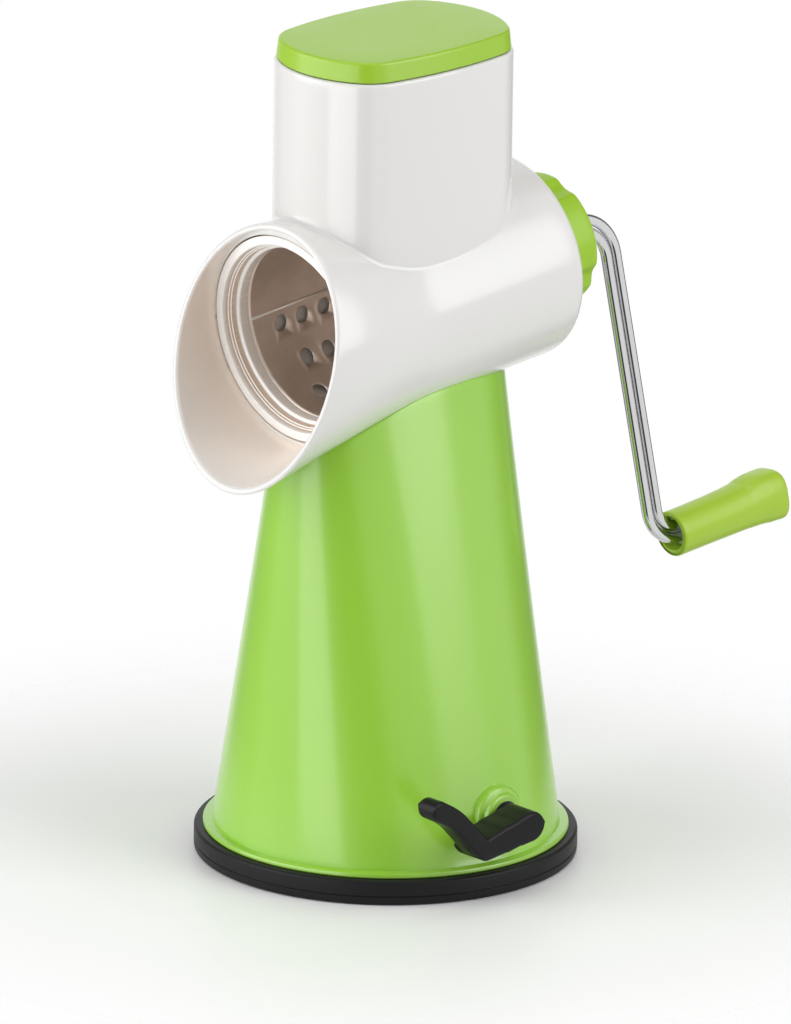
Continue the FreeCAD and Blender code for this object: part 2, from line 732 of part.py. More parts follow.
def make_stand_shell():
    """The green stand: a hollow moulding with a lip, two ribs, a lever boss and a saddle."""
    form = joined("stand_form", [stand_loft("stand_outside", "0", "pad_height"),
                                 cylinder("stand_lip", "lip_radius", "lip_height",
                                          "placement(vector(0; 0; pad_height);"
                                          " rotation(vector(0; 0; 1); 0))")])
    cavity = cut("stand_cavity", stand_loft("stand_inside", "stand_wall", "pad_height"),
                 make_barrel_form("saddle_floor", "(saddle_gap + saddle_floor)"))
    half_web = "(yoke_half_thickness + web_gap)"
    floor_top = "(pad_height + floor_ring_height)"
    floor_ring = upright("floor_ring", [
        ("pad_bore_radius", "pad_height"), ("cone_radius - stand_wall / 2", "pad_height"),
        ("cone_radius - stand_wall / 2 - floor_ring_draft", floor_top), ("pad_bore_radius", floor_top)])
    bosses, boss_holes = [], []
    for index in range(count("clamp_screw_count")):
        place = clamp_screw_place(index)
        lift = f" * placement(vector(0; 0; pad_height - {CLAMP_BOTTOM}); rotation(vector(0; 0; 1); 0))"
        bosses.append(cylinder(f"clamp_boss_{index}", "clamp_boss_radius", "clamp_boss_top - pad_height",
                               place + lift))
        boss_holes.append(cylinder(f"clamp_boss_hole_{index}", "screw_radius",
                                   "clamp_boss_top - clamp_boss_skin - pad_height", place + lift))
    lever_boss = along_lever("lever_boss", [
        ("lever_boss_root", "0"), ("lever_boss_face", "0"), ("lever_boss_face", "lever_boss_radius"),
        ("lever_boss_root", "lever_boss_radius")])
    screw_bosses = four_cylinders("saddle_boss", "housing_washer_radius + saddle_boss_wall",
                                  "post_drop - barrel_radius", "post_drop + saddle_gap")
    solid = joined("stand_solid", [
        cut("stand_walls", form, cavity), floor_ring, lever_boss, *bosses, *screw_bosses,
        make_web("web_outer", half_web), make_web("web_inner", f"-{half_web} - web_thickness")])
    shaft_hole = along_lever("shaft_hole", [
        ("-lever_boss_root", "0"), ("-lever_boss_root", "cam_shaft_radius + running_gap"),
        ("lever_boss_root", "cam_shaft_radius + running_gap"),
        ("lever_boss_root", "cam_shaft_radius + cam_bush_wall"),
        ("lever_boss_face + cut_over", "cam_shaft_radius + cam_bush_wall"),
        ("lever_boss_face + cut_over", "0")])
    post_holes = four_cylinders("saddle_hole", "post_radius + screw_hole_gap", "barrel_radius",
                                "post_drop + cut_over")
    return cut("stand_shell", solid, make_barrel_form("saddle_seat", "saddle_gap"), shaft_hole,
               *boss_holes, *post_holes)


# ---- drum ----

SLEEVE_FRONT = "(-ring_back - ring_ledge)"
COLLAR_RADIUS = "(sleeve_radius + collar_wall)"


def make_drum_front_ring():
    """The white funnel ring that the drum is held by, stepped inwards to the sleeve."""
    return along_barrel("drum_front_ring", [
        ("-ring_front", "ring_mouth_radius"), ("-ring_front", "ring_front_radius"),
        ("-ring_back", "ring_back_radius"), ("-ring_back", COLLAR_RADIUS),
        ("-ring_back + collar_length", COLLAR_RADIUS),
        ("-ring_back + collar_length", "sleeve_radius + sleeve_fit"),
        (SLEEVE_FRONT, "sleeve_radius + sleeve_fit"), (SLEEVE_FRONT, "sleeve_radius - sleeve_sheet"),
        ("-ring_front + ring_step + ring_slope", "sleeve_radius - sleeve_sheet + ring_slope_rise"),
        ("-ring_front + ring_step", "ring_mouth_radius - ring_draft")])


def tooth_rows(body, first, rows, turn):
    """Rows of holes along the top of the sleeve, turned about the sleeve's axis."""
    drawing = new_sketch(body, "XY_Plane")
    bind(drawing, AttachmentOffset=(
        f"placement(vector(0; 0; 0); rotation(vector(0; 1; 0); {turn})) * "
        "placement(vector(0; 0; sleeve_radius + cut_over); rotation(vector(0; 0; 1); 0))"))
    for row in rows:
        draw_circle(drawing, "tooth_hole_radius", "0", f"{first} + {row} * tooth_row_pitch")
    return feature(body, "Pocket", drawing, Length="2 * cut_over + sleeve_sheet")


def make_drum_sleeve():
    """The stainless sleeve, pierced with staggered rows of holes, but plain beside its seam."""
    inner = "sleeve_radius - sleeve_sheet"
    sleeve = along_barrel("drum_sleeve", [
        (SLEEVE_FRONT, inner), (SLEEVE_FRONT, "sleeve_radius"), ("sleeve_end", "sleeve_radius"),
        ("sleeve_end", inner)])
    rows = range(count("tooth_rows"))
    even = tooth_rows(sleeve, "tooth_first_row", rows[0::2], "tooth_turn")
    odd = tooth_rows(sleeve, "tooth_first_row", rows[1::2], "tooth_turn - 180 / tooth_columns")
    pattern = sleeve.newObject("PartDesign::PolarPattern", "sleeve_pattern")
    pattern.Originals = [even, odd]
    pattern.Axis = (next(p for p in sleeve.Origin.OriginFeatures if p.Role == "Y_Axis"), [""])
    bind(pattern, Occurrences="tooth_columns - plain_columns",
         Angle="360deg * (tooth_columns - plain_columns - 1) / tooth_columns")
    sleeve.Tip = pattern
    return sleeve


def hexagon(flats):
    """The corners of a hexagon of a width across its flats."""
    return [(f"({flats}) / sqrt(3) * cos({60 * corner + 30} * 1deg)",
             f"({flats}) / sqrt(3) * sin({60 * corner + 30} * 1deg)") for corner in range(6)]


def make_drum_rear_hub():
    """The white rear disc of the drum, with the hexagonal socket that the crank drives."""
    inner, outer = "sleeve_radius + sleeve_fit", COLLAR_RADIUS
    front, face = "(sleeve_end - collar_length)", "drum_hub_face"
    hub = along_barrel("drum_rear_hub", [
        ("drum_socket_front", "0"), ("drum_socket_front", "drum_socket_radius"),
        ("sleeve_end", "drum_socket_radius"), ("sleeve_end", inner), (front, inner), (front, outer),
        (face, outer), (face, "0")], place=ARM)
    socket = draw_outline(new_sketch(hub, "XZ_Plane", "-drum_socket_front - drum_hub_web"),
                          hexagon("hex_flats + 2 * hex_gap"))
    feature(hub, "Pocket", socket, Length="barrel_rear")
    return hub


# ---- crank ----

FLANGE_BACK = "(flange_front + flange_height)"
OUTER_TOP_BEND = "(wire_top_bend + wire_spacing)"
OUTER_FOOT_BEND = "(wire_foot_bend + wire_spacing)"
HIGH_STRAND = "(wire_spacing / 2)"
FAR_STRAND = "(arm_offset + wire_spacing / 2)"
TOP_BEND = f"(-{HIGH_STRAND} - wire_top_bend)"
ELBOW = f"({FAR_STRAND} + wire_foot_bend)"
FOOT_BEND = f"(-arm_length + {HIGH_STRAND} + wire_foot_bend)"


def make_crank_wire():
    """One bright wire folded double: out of the shaft, down the arm and back along the grip."""
    near = "(arm_offset - wire_spacing / 2)"
    knee = f"({near} - wire_top_bend)"
    body = new_body("crank_wire", ARM)
    path = draw_outline(new_sketch(body, "YZ_Plane"), [
        ("wire_start", HIGH_STRAND), (knee, HIGH_STRAND), (FAR_STRAND, TOP_BEND),
        (FAR_STRAND, FOOT_BEND), (ELBOW, f"-arm_length + {HIGH_STRAND}"),
        ("wire_fold", f"-arm_length + {HIGH_STRAND}"), (f"wire_fold + {HIGH_STRAND}", "-arm_length"),
        ("wire_fold", f"-arm_length - {HIGH_STRAND}"), (ELBOW, f"-arm_length - {HIGH_STRAND}"),
        (near, FOOT_BEND), (near, TOP_BEND), (knee, f"-{HIGH_STRAND}"),
        ("wire_start", f"-{HIGH_STRAND}")],
        {1: (OUTER_TOP_BEND, -1), 3: ("wire_foot_bend", 1), 5: (HIGH_STRAND, -1),
         6: (HIGH_STRAND, -1), 8: (OUTER_FOOT_BEND, -1), 10: ("wire_top_bend", 1)}, closed=False)
    section = draw_circle(new_sketch(body, "XZ_Plane", "-wire_start"), "wire_radius", "0", HIGH_STRAND)
    pipe = body.newObject("PartDesign::AdditivePipe", "wire_pipe")
    pipe.Profile = section
    pipe.Spine = (path, [f"Edge{edge + 1}" for edge in range(12)])
    return body


def make_drive_shaft(wire):
    """The drive: a hexagonal nose, a round journal and a flange, holding the wire's ends."""
    clip_back = "(clip_front + clip_thickness)"
    hub_bore_end = "(hub_back - hub_wall)"
    body = along_barrel("shaft_blank", [
        ("clip_front", "0"), ("clip_front", "clip_groove_radius"), (clip_back, "clip_groove_radius"),
        (clip_back, "shaft_radius"), ("flange_front", "shaft_radius"), ("flange_front", "flange_radius"),
        (FLANGE_BACK, "flange_radius"), (FLANGE_BACK, "shaft_radius"), (hub_bore_end, "shaft_radius"),
        (hub_bore_end, "0")], place=ARM)
    nose = draw_outline(new_sketch(body, "XZ_Plane", "-clip_front"), hexagon("hex_flats"))
    feature(body, "Pad", nose, Length="clip_front - hex_front")
    ring = ("hub_screw_circle", "hub_screw_count", "Y_Axis")
    drill(body, "XZ_Plane", "-flange_front", "flange_height", CLAMP_HOLE, *ring)
    drill(body, "XZ_Plane", "-flange_front", "screw_head_height", "screw_head_radius + screw_hole_gap",
          *ring)
    return cut("drive_shaft", body, wire)


def make_shaft_clip():
    """The spring clip that keeps the shaft from pulling out of its bush."""
    back = "clip_front + clip_thickness"
    return along_barrel("shaft_clip", [
        ("clip_front", "clip_groove_radius"), ("clip_front", "clip_radius"), (back, "clip_radius"),
        (back, "clip_groove_radius")])


def make_rear_bush():
    bore, outer = "shaft_radius + running_gap", "shaft_radius + bush_wall"
    seat = "(barrel_rear - rear_wall)"
    return along_barrel("rear_bush", [
        (f"{seat} - bush_flange", bore), (f"{seat} - bush_flange", "bush_flange_radius"),
        (seat, "bush_flange_radius"), (seat, outer), ("bush_end", outer), ("bush_end", bore)])


def make_crank_hub():
    """The green lobed hub, hollow towards the barrel, screwed to the shaft's flange."""
    rim, boss = "(hub_radius - hub_rim_wall)", "(flange_radius + hub_boss_wall)"
    floor = "(hub_back - 2 * hub_wall)"
    hub = along_barrel("crank_hub", [
        ("hub_back", "wire_spacing"), ("hub_back", "hub_radius - hub_edge"),
        ("hub_back - hub_edge", "hub_radius"), ("hub_front", "hub_radius"), ("hub_front", rim),
        (floor, rim), (floor, boss), ("hub_front", boss), ("hub_front", "flange_radius"),
        (FLANGE_BACK, "flange_radius"), (FLANGE_BACK, "shaft_radius"),
        ("hub_back - hub_wall", "shaft_radius"), ("hub_back - hub_wall", "wire_spacing")], place=ARM)
    drill(hub, "XZ_Plane", "-hub_front", "hub_back - hub_front", "hub_notch_radius",
          "hub_radius - hub_notch_depth + hub_notch_radius", "hub_lobes", "Y_Axis",
          "hub_notch_turn")
    drill(hub, "XZ_Plane", f"-{FLANGE_BACK}", "hub_screw_bite + screw_end_gap", "hub_screw_radius",
          "hub_screw_circle", "hub_screw_count", "Y_Axis")
    return hub


def make_hub_screws():
    pieces = []
    for index in range(count("hub_screw_count")):
        place = (ARM + f" * placement(vector(0; flange_front; 0);"
                 f" rotation(vector(0; -1; 0); {index} * 360 / hub_screw_count))"
                 " * placement(vector(hub_screw_circle; 0; 0); rotation(vector(0; 1; 0); 0))")
        pieces.append(screw(f"hub_screw_{index}", place, "XY_Plane", "hub_screw_radius",
                            "flange_height + hub_screw_bite"))
    return group("hub_screws", pieces)


def make_grip_core(wire):
    """The sleeve moulded round the folded wire, on which the grip turns; a ridge keeps the grip on."""
    ridge_front = "(core_back - 2 * core_ridge_width)"
    core = along_barrel("core_blank", [
        ("core_front", "0"), ("core_front", "core_radius"), (ridge_front, "core_radius"),
        (ridge_front, "core_radius + core_ridge"),
        (f"{ridge_front} + core_ridge_width", "core_radius + core_ridge"),
        (f"{ridge_front} + core_ridge_width", "core_radius"), ("core_back", "core_radius"),
        ("core_back", "0")], place=GRIP)
    return cut("grip_core", core, wire)


def make_grip():
    """The green grip: a round sleeve that widens to a blunt end, open towards the arm."""
    bore = "(core_radius + grip_gap)"
    ridge_front = "(core_back - 2 * core_ridge_width - core_ridge_gap)"
    ridge_back = "(core_back - core_ridge_width + core_ridge_gap)"
    ridge = "(core_radius + core_ridge + grip_gap)"
    return along_barrel("grip", [
        ("grip_front", "grip_mouth_radius"), ("grip_front", "grip_front_radius"),
        ("grip_waist", "grip_waist_radius"), ("grip_back", "grip_back_radius"),
        ("grip_end - grip_edge", "grip_back_radius"), ("grip_end", "grip_end_radius"), ("grip_end", "0"),
        ("core_back + grip_end_gap", "0"), ("core_back + grip_end_gap", bore), (ridge_back, bore),
        (ridge_back, ridge), (ridge_front, ridge), (ridge_front, bore),
        ("core_front + grip_mouth_depth", bore),
        ("core_front", "grip_mouth_radius")], place=GRIP)


# ---- pusher ----

def make_pusher_body():
    """The hollow plunger that slides in the chute."""
    outer = "(chute_wall + pusher_gap)"
    block = oval_pad("pusher_form", outer, "pusher_bottom", "chute_top + pusher_rest")
    hollow = oval_pad("pusher_hollow", f"({outer} + pusher_wall)", "pusher_bottom + pusher_floor",
                      "chute_top + pusher_rest + cut_over")
    return cut("pusher_body", block, hollow)


def make_pusher_cap():
    """The green lid of the pusher, rounded along its top edge and plugged into the plunger."""
    seat = "(chute_top + pusher_rest)"
    body = new_body("pusher_cap")
    lid = draw_outline(new_sketch(body, "XY_Plane", seat), *oval("cap_inset"))
    feature(body, "Pad", lid, Length="cap_height")
    plug = draw_outline(new_sketch(body, "XY_Plane", f"{seat} - cap_plug"),
                        *oval("(chute_wall + pusher_gap + pusher_wall)"))
    feature(body, "Pad", plug, Length="cap_plug")
    doc.recompute()
    top = value(f"{seat} + cap_height")
    pad = body.Tip
    edges = [f"Edge{index + 1}" for index, edge in enumerate(pad.Shape.Edges)
             if abs(edge.BoundBox.ZMin - top) < 1e-6]
    rounded = body.newObject("PartDesign::Fillet", "cap_fillet")
    rounded.Base = (pad, edges)
    bind(rounded, Radius="cap_edge")
    return body


def make_parts():
    wire = make_crank_wire()
    return [
        make_suction_pad(), make_clamp_ring(), make_clamp_ring_screws(), make_diaphragm(),
        make_lift_washer(), make_lift_screw(), make_lift_yoke(), make_cam_shaft(), make_lift_cam(),
        make_cam_bush(), make_lever_arm(), make_lever_screw(), make_stand_shell(),
        make_barrel_housing(), make_housing_screws(), make_rear_bush(), make_drive_shaft(wire),
        make_shaft_clip(), make_crank_hub(), make_hub_screws(), wire, make_grip_core(wire),
        make_grip(), make_drum_sleeve(), make_drum_front_ring(), make_drum_rear_hub(),
        make_pusher_body(), make_pusher_cap()]


def write(parts):
    """Checks every object, then writes each part to a STEP file named after it."""
    doc.recompute()
    broken = [thing.Name for thing in doc.Objects if {"Invalid", "Error"} & set(thing.State)]
    broken += [part.Label for part in parts if part.Shape.isNull() or not part.Shape.isValid()]
    if broken:
        raise RuntimeError("not built: " + ", ".join(broken))
    os.makedirs("parts", exist_ok=True)
    for part in parts:
        part.Shape.exportStep(f"parts/{part.Label}.step")


write(make_parts())
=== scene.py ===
import math

import bpy
import numpy as np
from mathutils import Matrix, Vector


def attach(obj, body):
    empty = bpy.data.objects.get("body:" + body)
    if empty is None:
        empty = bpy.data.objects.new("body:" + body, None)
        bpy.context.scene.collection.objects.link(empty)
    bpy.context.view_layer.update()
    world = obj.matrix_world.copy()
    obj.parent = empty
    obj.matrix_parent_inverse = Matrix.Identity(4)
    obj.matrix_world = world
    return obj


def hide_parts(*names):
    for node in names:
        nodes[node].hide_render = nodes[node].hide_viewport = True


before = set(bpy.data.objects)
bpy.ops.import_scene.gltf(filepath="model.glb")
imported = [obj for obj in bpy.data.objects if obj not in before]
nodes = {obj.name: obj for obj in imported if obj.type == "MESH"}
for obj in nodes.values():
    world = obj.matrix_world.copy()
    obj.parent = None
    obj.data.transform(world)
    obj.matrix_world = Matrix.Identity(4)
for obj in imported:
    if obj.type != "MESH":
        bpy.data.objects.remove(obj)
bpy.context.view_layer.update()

# ---- Table, lamps and camera ----
# A pale table top fades out into a white room. Large soft lamps stand round it, as in a small studio, and
# the camera looks from far off, so that the upright lines stay nearly parallel.

TABLE_RADIUS, TABLE_DROP = 0.9, 0.0002
TABLE_FADE = (0.11, 0.26)
TABLE_RINGS, TABLE_AROUND = 40, 96
ROOM_BRIGHT, ROOM_DIM, ROOM_FLOOR = 0.50, 0.08, 0.80
STUDIO_WALLS = [  # degrees from the camera towards its right, brightness that gloss shows
    (-180, 1.0), (-160, 0.9), (-142, 0.22), (-112, 0.30), (-96, 0.62), (-26, 0.60), (-13, 0.04), (7, 0.04),
    (19, 0.95), (110, 0.95), (126, 0.12), (152, 0.12), (168, 1.0)]
LAMPS = [  # name, azimuth from the mouth towards the lever, height, distance, width, tall, brightness
    ("right_softbox", 112, 0.75, 1.30, 1.00, 1.30, 3.0),
    ("left_softbox", -32, 0.55, 1.30, 1.10, 1.30, 2.7),
    ("front_softbox", 6, 0.18, 1.25, 0.70, 0.70, 2.6),
    ("overhead_softbox", 30, 1.75, 0.10, 1.20, 1.20, 1.1),
]
LAMP_AIM_HEIGHT = 0.13
CAMERA_AZIMUTH, CAMERA_HEIGHT_ANGLE, CAMERA_ROLL = 47.2, 17.5, 0.76
CAMERA_REACH, CAMERA_NEAR, CAMERA_FAR = 10.1316, 0.5, 40
CAMERA_AIM = (0.001935, 0.11856)
FOCAL_PIXELS, PICTURE_HEIGHT, SENSOR = 30000, 1024, 36


def shader_tree(material):
    """A material's emptied shader tree, and its output."""
    material.use_nodes = True
    tree = material.node_tree
    tree.nodes.clear()
    return tree, tree.nodes.new("ShaderNodeOutputMaterial")


def node(tree, kind, inputs=None, **settings):
    """A shader node with its settings, and each input set to a number or joined to a socket."""
    made = tree.nodes.new(kind)
    for name, setting in settings.items():
        setattr(made, name, setting)
    for name, source in (inputs or {}).items():
        socket = made.inputs[name]
        if isinstance(source, bpy.types.NodeSocket):
            tree.links.new(source, socket)
        else:
            socket.default_value = source
    return made


world = bpy.data.worlds.new("white_room")
bpy.context.scene.world = world
world.use_nodes = True
room = world.node_tree
room.nodes.clear()
direction = node(room, "ShaderNodeTexCoord").outputs["Generated"]
turn = math.radians(CAMERA_AZIMUTH)
behind_camera = node(room, "ShaderNodeVectorMath", {0: direction, 1: (math.sin(turn), -math.cos(turn), 0)},
                     operation="DOT_PRODUCT").outputs["Value"]
brightness = node(room, "ShaderNodeMapRange", {"Value": behind_camera, "From Min": 0.45,
                  "From Max": 0.95, "To Min": ROOM_BRIGHT, "To Max": ROOM_DIM})
height = node(room, "ShaderNodeSeparateXYZ", {0: direction}).outputs["Z"]
above = node(room, "ShaderNodeMapRange", {"Value": height, "From Min": -0.08, "From Max": 0.0})
strength = node(room, "ShaderNodeMix", {0: above.outputs[0], "A": ROOM_FLOOR,
                "B": brightness.outputs[0]})
ambient = node(room, "ShaderNodeBackground", {"Color": (1, 1, 1, 1), "Strength": strength.outputs[0]})
beside_camera = node(room, "ShaderNodeVectorMath", {0: direction, 1: (math.cos(turn), math.sin(turn), 0)},
                     operation="DOT_PRODUCT").outputs["Value"]
bearing = node(room, "ShaderNodeMath", {0: beside_camera, 1: behind_camera}, operation="ARCTAN2")
whole_turn = node(room, "ShaderNodeMapRange", {"Value": bearing.outputs[0], "From Min": -math.pi,
                  "From Max": math.pi})
walls = node(room, "ShaderNodeValToRGB", {0: whole_turn.outputs[0]})
stops = walls.color_ramp.elements
while len(stops) < len(STUDIO_WALLS):
    stops.new(0.5)
for stop, (degrees, bright) in zip(stops, STUDIO_WALLS):
    stop.position, stop.color = degrees / 360 + 0.5, (bright, bright, bright, 1)
rays = node(room, "ShaderNodeLightPath").outputs
shown = node(room, "ShaderNodeMix", {0: rays["Is Camera Ray"], "A": walls.outputs["Color"], "B": 1.0})
studio = node(room, "ShaderNodeBackground", {"Color": (1, 1, 1, 1), "Strength": shown.outputs[0]})
seen = node(room, "ShaderNodeMath", {0: rays["Is Camera Ray"], 1: rays["Is Glossy Ray"]}, operation="ADD")
seen = node(room, "ShaderNodeMath", {0: seen.outputs[0], 1: rays["Is Transmission Ray"]}, operation="ADD",
            use_clamp=True)
through = node(room, "ShaderNodeMixShader", {0: seen.outputs[0], 1: ambient.outputs[0],
               2: studio.outputs[0]})
node(room, "ShaderNodeOutputWorld", {"Surface": through.outputs[0]})

for name, azimuth, height, distance, wide, tall, bright in LAMPS:
    lamp = bpy.data.lights.new(name, "AREA")
    lamp.shape, lamp.size, lamp.size_y = "RECTANGLE", wide, tall
    lamp.energy = bright * math.pi * wide * tall
    softbox = bpy.data.objects.new(name, lamp)
    bpy.context.scene.collection.objects.link(softbox)
    turn = math.radians(azimuth)
    softbox.location = (distance * math.sin(turn), -distance * math.cos(turn), height)
    aim = Vector((0, 0, LAMP_AIM_HEIGHT)) - softbox.location
    softbox.rotation_euler = aim.to_track_quat("-Z", "Y").to_euler()

points = [(0, 0, 0)] + [(TABLE_RADIUS * ring / TABLE_RINGS * math.cos(math.tau * step / TABLE_AROUND),
                         TABLE_RADIUS * ring / TABLE_RINGS * math.sin(math.tau * step / TABLE_AROUND), 0)
                        for ring in range(1, TABLE_RINGS + 1) for step in range(TABLE_AROUND)]
faces = [(0, 1 + step, 1 + (step + 1) % TABLE_AROUND) for step in range(TABLE_AROUND)]
for ring in range(TABLE_RINGS - 1):
    near, far = 1 + ring * TABLE_AROUND, 1 + (ring + 1) * TABLE_AROUND
    for step in range(TABLE_AROUND):
        after = (step + 1) % TABLE_AROUND
        faces.append((near + step, far + step, far + after, near + after))
table_mesh = bpy.data.meshes.new("table_top")
table_mesh.from_pydata(points, [], faces)
table_top = bpy.data.objects.new("table_top", table_mesh)
bpy.context.scene.collection.objects.link(table_top)
table_top.location = (0, 0, -TABLE_DROP)
table_paint = bpy.data.materials.new("pale_table")
tree, out = shader_tree(table_paint)
spot = node(tree, "ShaderNodeTexCoord").outputs["Object"]
reach = node(tree, "ShaderNodeVectorMath", {0: spot}, operation="LENGTH").outputs["Value"]
fade = node(tree, "ShaderNodeMapRange", {"Value": reach, "From Min": TABLE_FADE[0],
            "From Max": TABLE_FADE[1]}, interpolation_type="SMOOTHSTEP")
mottle = node(tree, "ShaderNodeTexNoise", {"Vector": spot, "Scale": 14.0, "Detail": 3.0})
tone = node(tree, "ShaderNodeMix", {0: mottle.outputs[0], "A": (0.86, 0.86, 0.86, 1),
            "B": (0.88, 0.88, 0.88, 1)}, data_type="RGBA")
matt = node(tree, "ShaderNodeBsdfPrincipled", {"Base Color": tone.outputs["Result"], "Roughness": 0.45})
clear = node(tree, "ShaderNodeBsdfTransparent")
laid = node(tree, "ShaderNodeMixShader", {0: fade.outputs[0], 1: matt.outputs[0], 2: clear.outputs[0]})
tree.links.new(laid.outputs[0], out.inputs["Surface"])
table_mesh.materials.append(table_paint)

camera = bpy.data.objects.new("camera", bpy.data.cameras.new("camera"))
bpy.context.scene.collection.objects.link(camera)
camera.data.lens = FOCAL_PIXELS * SENSOR / PICTURE_HEIGHT
camera.data.sensor_width = SENSOR
camera.data.clip_start, camera.data.clip_end = CAMERA_NEAR, CAMERA_FAR
turn, lift, roll = (math.radians(a) for a in (CAMERA_AZIMUTH, CAMERA_HEIGHT_ANGLE, CAMERA_ROLL))
back = Vector((math.sin(turn) * math.cos(lift), -math.cos(turn) * math.cos(lift), math.sin(lift)))
level = Vector((math.cos(turn), math.sin(turn), 0))
rise = back.cross(level)
right = level * math.cos(roll) + rise * math.sin(roll)
up = rise * math.cos(roll) - level * math.sin(roll)
place = level * CAMERA_AIM[0] + Vector((0, 0, CAMERA_AIM[1])) + back * CAMERA_REACH
camera.matrix_world = Matrix([[*row, p] for row, p in zip(zip(right, up, back), place)] + [[0, 0, 0, 1]])
bpy.context.scene.camera = camera
bpy.context.scene.view_settings.view_transform = "Standard"

# ---- Rubber foot ----
# A moulded black rubber ring stands on the table. Its flange is clamped under the stand, and its thin
# middle lifts when the lever is turned. Fine mould lines run round its side.

MM = 0.001
RUBBER_DARK, RUBBER_WORN = (0.010, 0.010, 0.011), (0.028, 0.027, 0.026)


def link_group(tree, group, values):
    """A shared effect placed in a tree, with its own values."""
    made = tree.nodes.new("ShaderNodeGroup")
    made.node_tree = group
    for name, number in values.items():
        made.inputs[name].default_value = number
    return made


def new_group(name, inputs, outputs):
    """An empty shared effect, with its input and output nodes."""
    group = bpy.data.node_groups.new(name, "ShaderNodeTree")
    for label, default in inputs:
        socket = group.interface.new_socket(label, in_out="INPUT", socket_type="NodeSocketFloat")
        socket.default_value = default
    for label in outputs:
        group.interface.new_socket(label, in_out="OUTPUT", socket_type="NodeSocketFloat")
    return group, group.nodes.new("NodeGroupInput"), group.nodes.new("NodeGroupOutput")


def moulded_surface_group():
    """Cloudy tone, fine orange peel and faint handling marks of a moulded part, from its own position."""
    group, given, result = new_group("moulded_surface", [("Cloud Scale", 20), ("Peel Scale", 900),
                                     ("Scratch Scale", 60)], ["Cloud", "Marks", "Height"])
    spot = node(group, "ShaderNodeTexCoord").outputs["Object"]
    cloud = node(group, "ShaderNodeTexNoise", {"Vector": spot, "Scale": given.outputs["Cloud Scale"],
                 "Detail": 3.0, "Roughness": 0.55})
    peel = node(group, "ShaderNodeTexNoise", {"Vector": spot, "Scale": given.outputs["Peel Scale"],
                "Detail": 1.5})
    stretched = node(group, "ShaderNodeVectorMath", {0: spot, 1: (1.0, 1.0, 6.0)}, operation="MULTIPLY")
    marks = node(group, "ShaderNodeTexNoise", {"Vector": stretched.outputs[0],
                 "Scale": given.outputs["Scratch Scale"], "Detail": 4.0, "Roughness": 0.7,
                 "Distortion": 0.6})
    sharp = node(group, "ShaderNodeMapRange", {"Value": marks.outputs[0], "From Min": 0.52,
                 "From Max": 0.74}, interpolation_type="SMOOTHSTEP")
    height = node(group, "ShaderNodeMath", {0: peel.outputs[0], 1: cloud.outputs[0]}, operation="ADD")
    group.links.new(cloud.outputs[0], result.inputs["Cloud"])
    group.links.new(sharp.outputs[0], result.inputs["Marks"])
    group.links.new(height.outputs[0], result.inputs["Height"])
    return group


def edge_wear_group():
    """1 along the outer edges of a part, broken up so that it looks rubbed by hands."""
    group, given, result = new_group("edge_wear", [("Start", 0.53), ("End", 0.60), ("Break Scale", 120)],
                                     ["Edge"])
    bend = node(group, "ShaderNodeNewGeometry").outputs["Pointiness"]
    spot = node(group, "ShaderNodeTexCoord").outputs["Object"]
    edge = node(group, "ShaderNodeMapRange", {"Value": bend, "From Min": given.outputs["Start"],
                "From Max": given.outputs["End"]}, interpolation_type="SMOOTHSTEP")
    worn = node(group, "ShaderNodeTexNoise", {"Vector": spot, "Scale": given.outputs["Break Scale"],
                "Detail": 3.0})
    broken = node(group, "ShaderNodeMapRange", {"Value": worn.outputs[0], "From Min": 0.35,
                  "From Max": 0.65})
    both = node(group, "ShaderNodeMath", {0: edge.outputs[0], 1: broken.outputs[0]}, operation="MULTIPLY")
    group.links.new(both.outputs[0], result.inputs["Edge"])
    return group


MOULDED, EDGE_WEAR = moulded_surface_group(), edge_wear_group()


def moulded_material(name, colour, cloudy, worn, roughness, cloud=20, peel=900, bump=0.02, coat=0.0,
                     coat_roughness=0.2, specular=0.5, stain_and_painted_shade=None, painted_shade_reach=None):
    """Moulded stuff: cloudy in tone, rubbed at its edges, with a fine skin and perhaps a painted warm shade
    inside.
    """
    material = bpy.data.materials.new(name)
    tree, out = shader_tree(material)
    surface = link_group(tree, MOULDED, {"Cloud Scale": cloud, "Peel Scale": peel,
                         "Scratch Scale": cloud * 4})
    edge = link_group(tree, EDGE_WEAR, {"Start": 0.54, "End": 0.64, "Break Scale": cloud * 8})
    tone = node(tree, "ShaderNodeMix", {0: surface.outputs["Cloud"], "A": (*colour, 1), "B": (*cloudy, 1)},
                data_type="RGBA")
    rubbed = node(tree, "ShaderNodeMix", {0: edge.outputs["Edge"], "A": tone.outputs["Result"],
                  "B": (*worn, 1)}, data_type="RGBA")
    # Painted warm shade: a warm tint over the inward sides, standing in for reflected light and shade.
    if stain_and_painted_shade:
        mask = link_group(tree, PAINTED_WARM_SHADE, painted_shade_reach)
        rubbed = node(tree, "ShaderNodeMix", {0: mask.outputs["Stain"], "A": rubbed.outputs["Result"],
                      "B": (*stain_and_painted_shade, 1)}, data_type="RGBA")
    rough = node(tree, "ShaderNodeMapRange", {"Value": surface.outputs["Marks"], "To Min": roughness,
                 "To Max": roughness + 0.07})
    skin = node(tree, "ShaderNodeBump", {"Height": surface.outputs["Height"], "Strength": bump,
                "Distance": 0.0004})
    stuff = node(tree, "ShaderNodeBsdfPrincipled", {"Base Color": rubbed.outputs["Result"],
                 "Roughness": rough.outputs[0], "Normal": skin.outputs[0], "Coat Weight": coat,
                 "Coat Roughness": coat_roughness, "Specular IOR Level": specular})
    tree.links.new(stuff.outputs[0], out.inputs["Surface"])
    return material


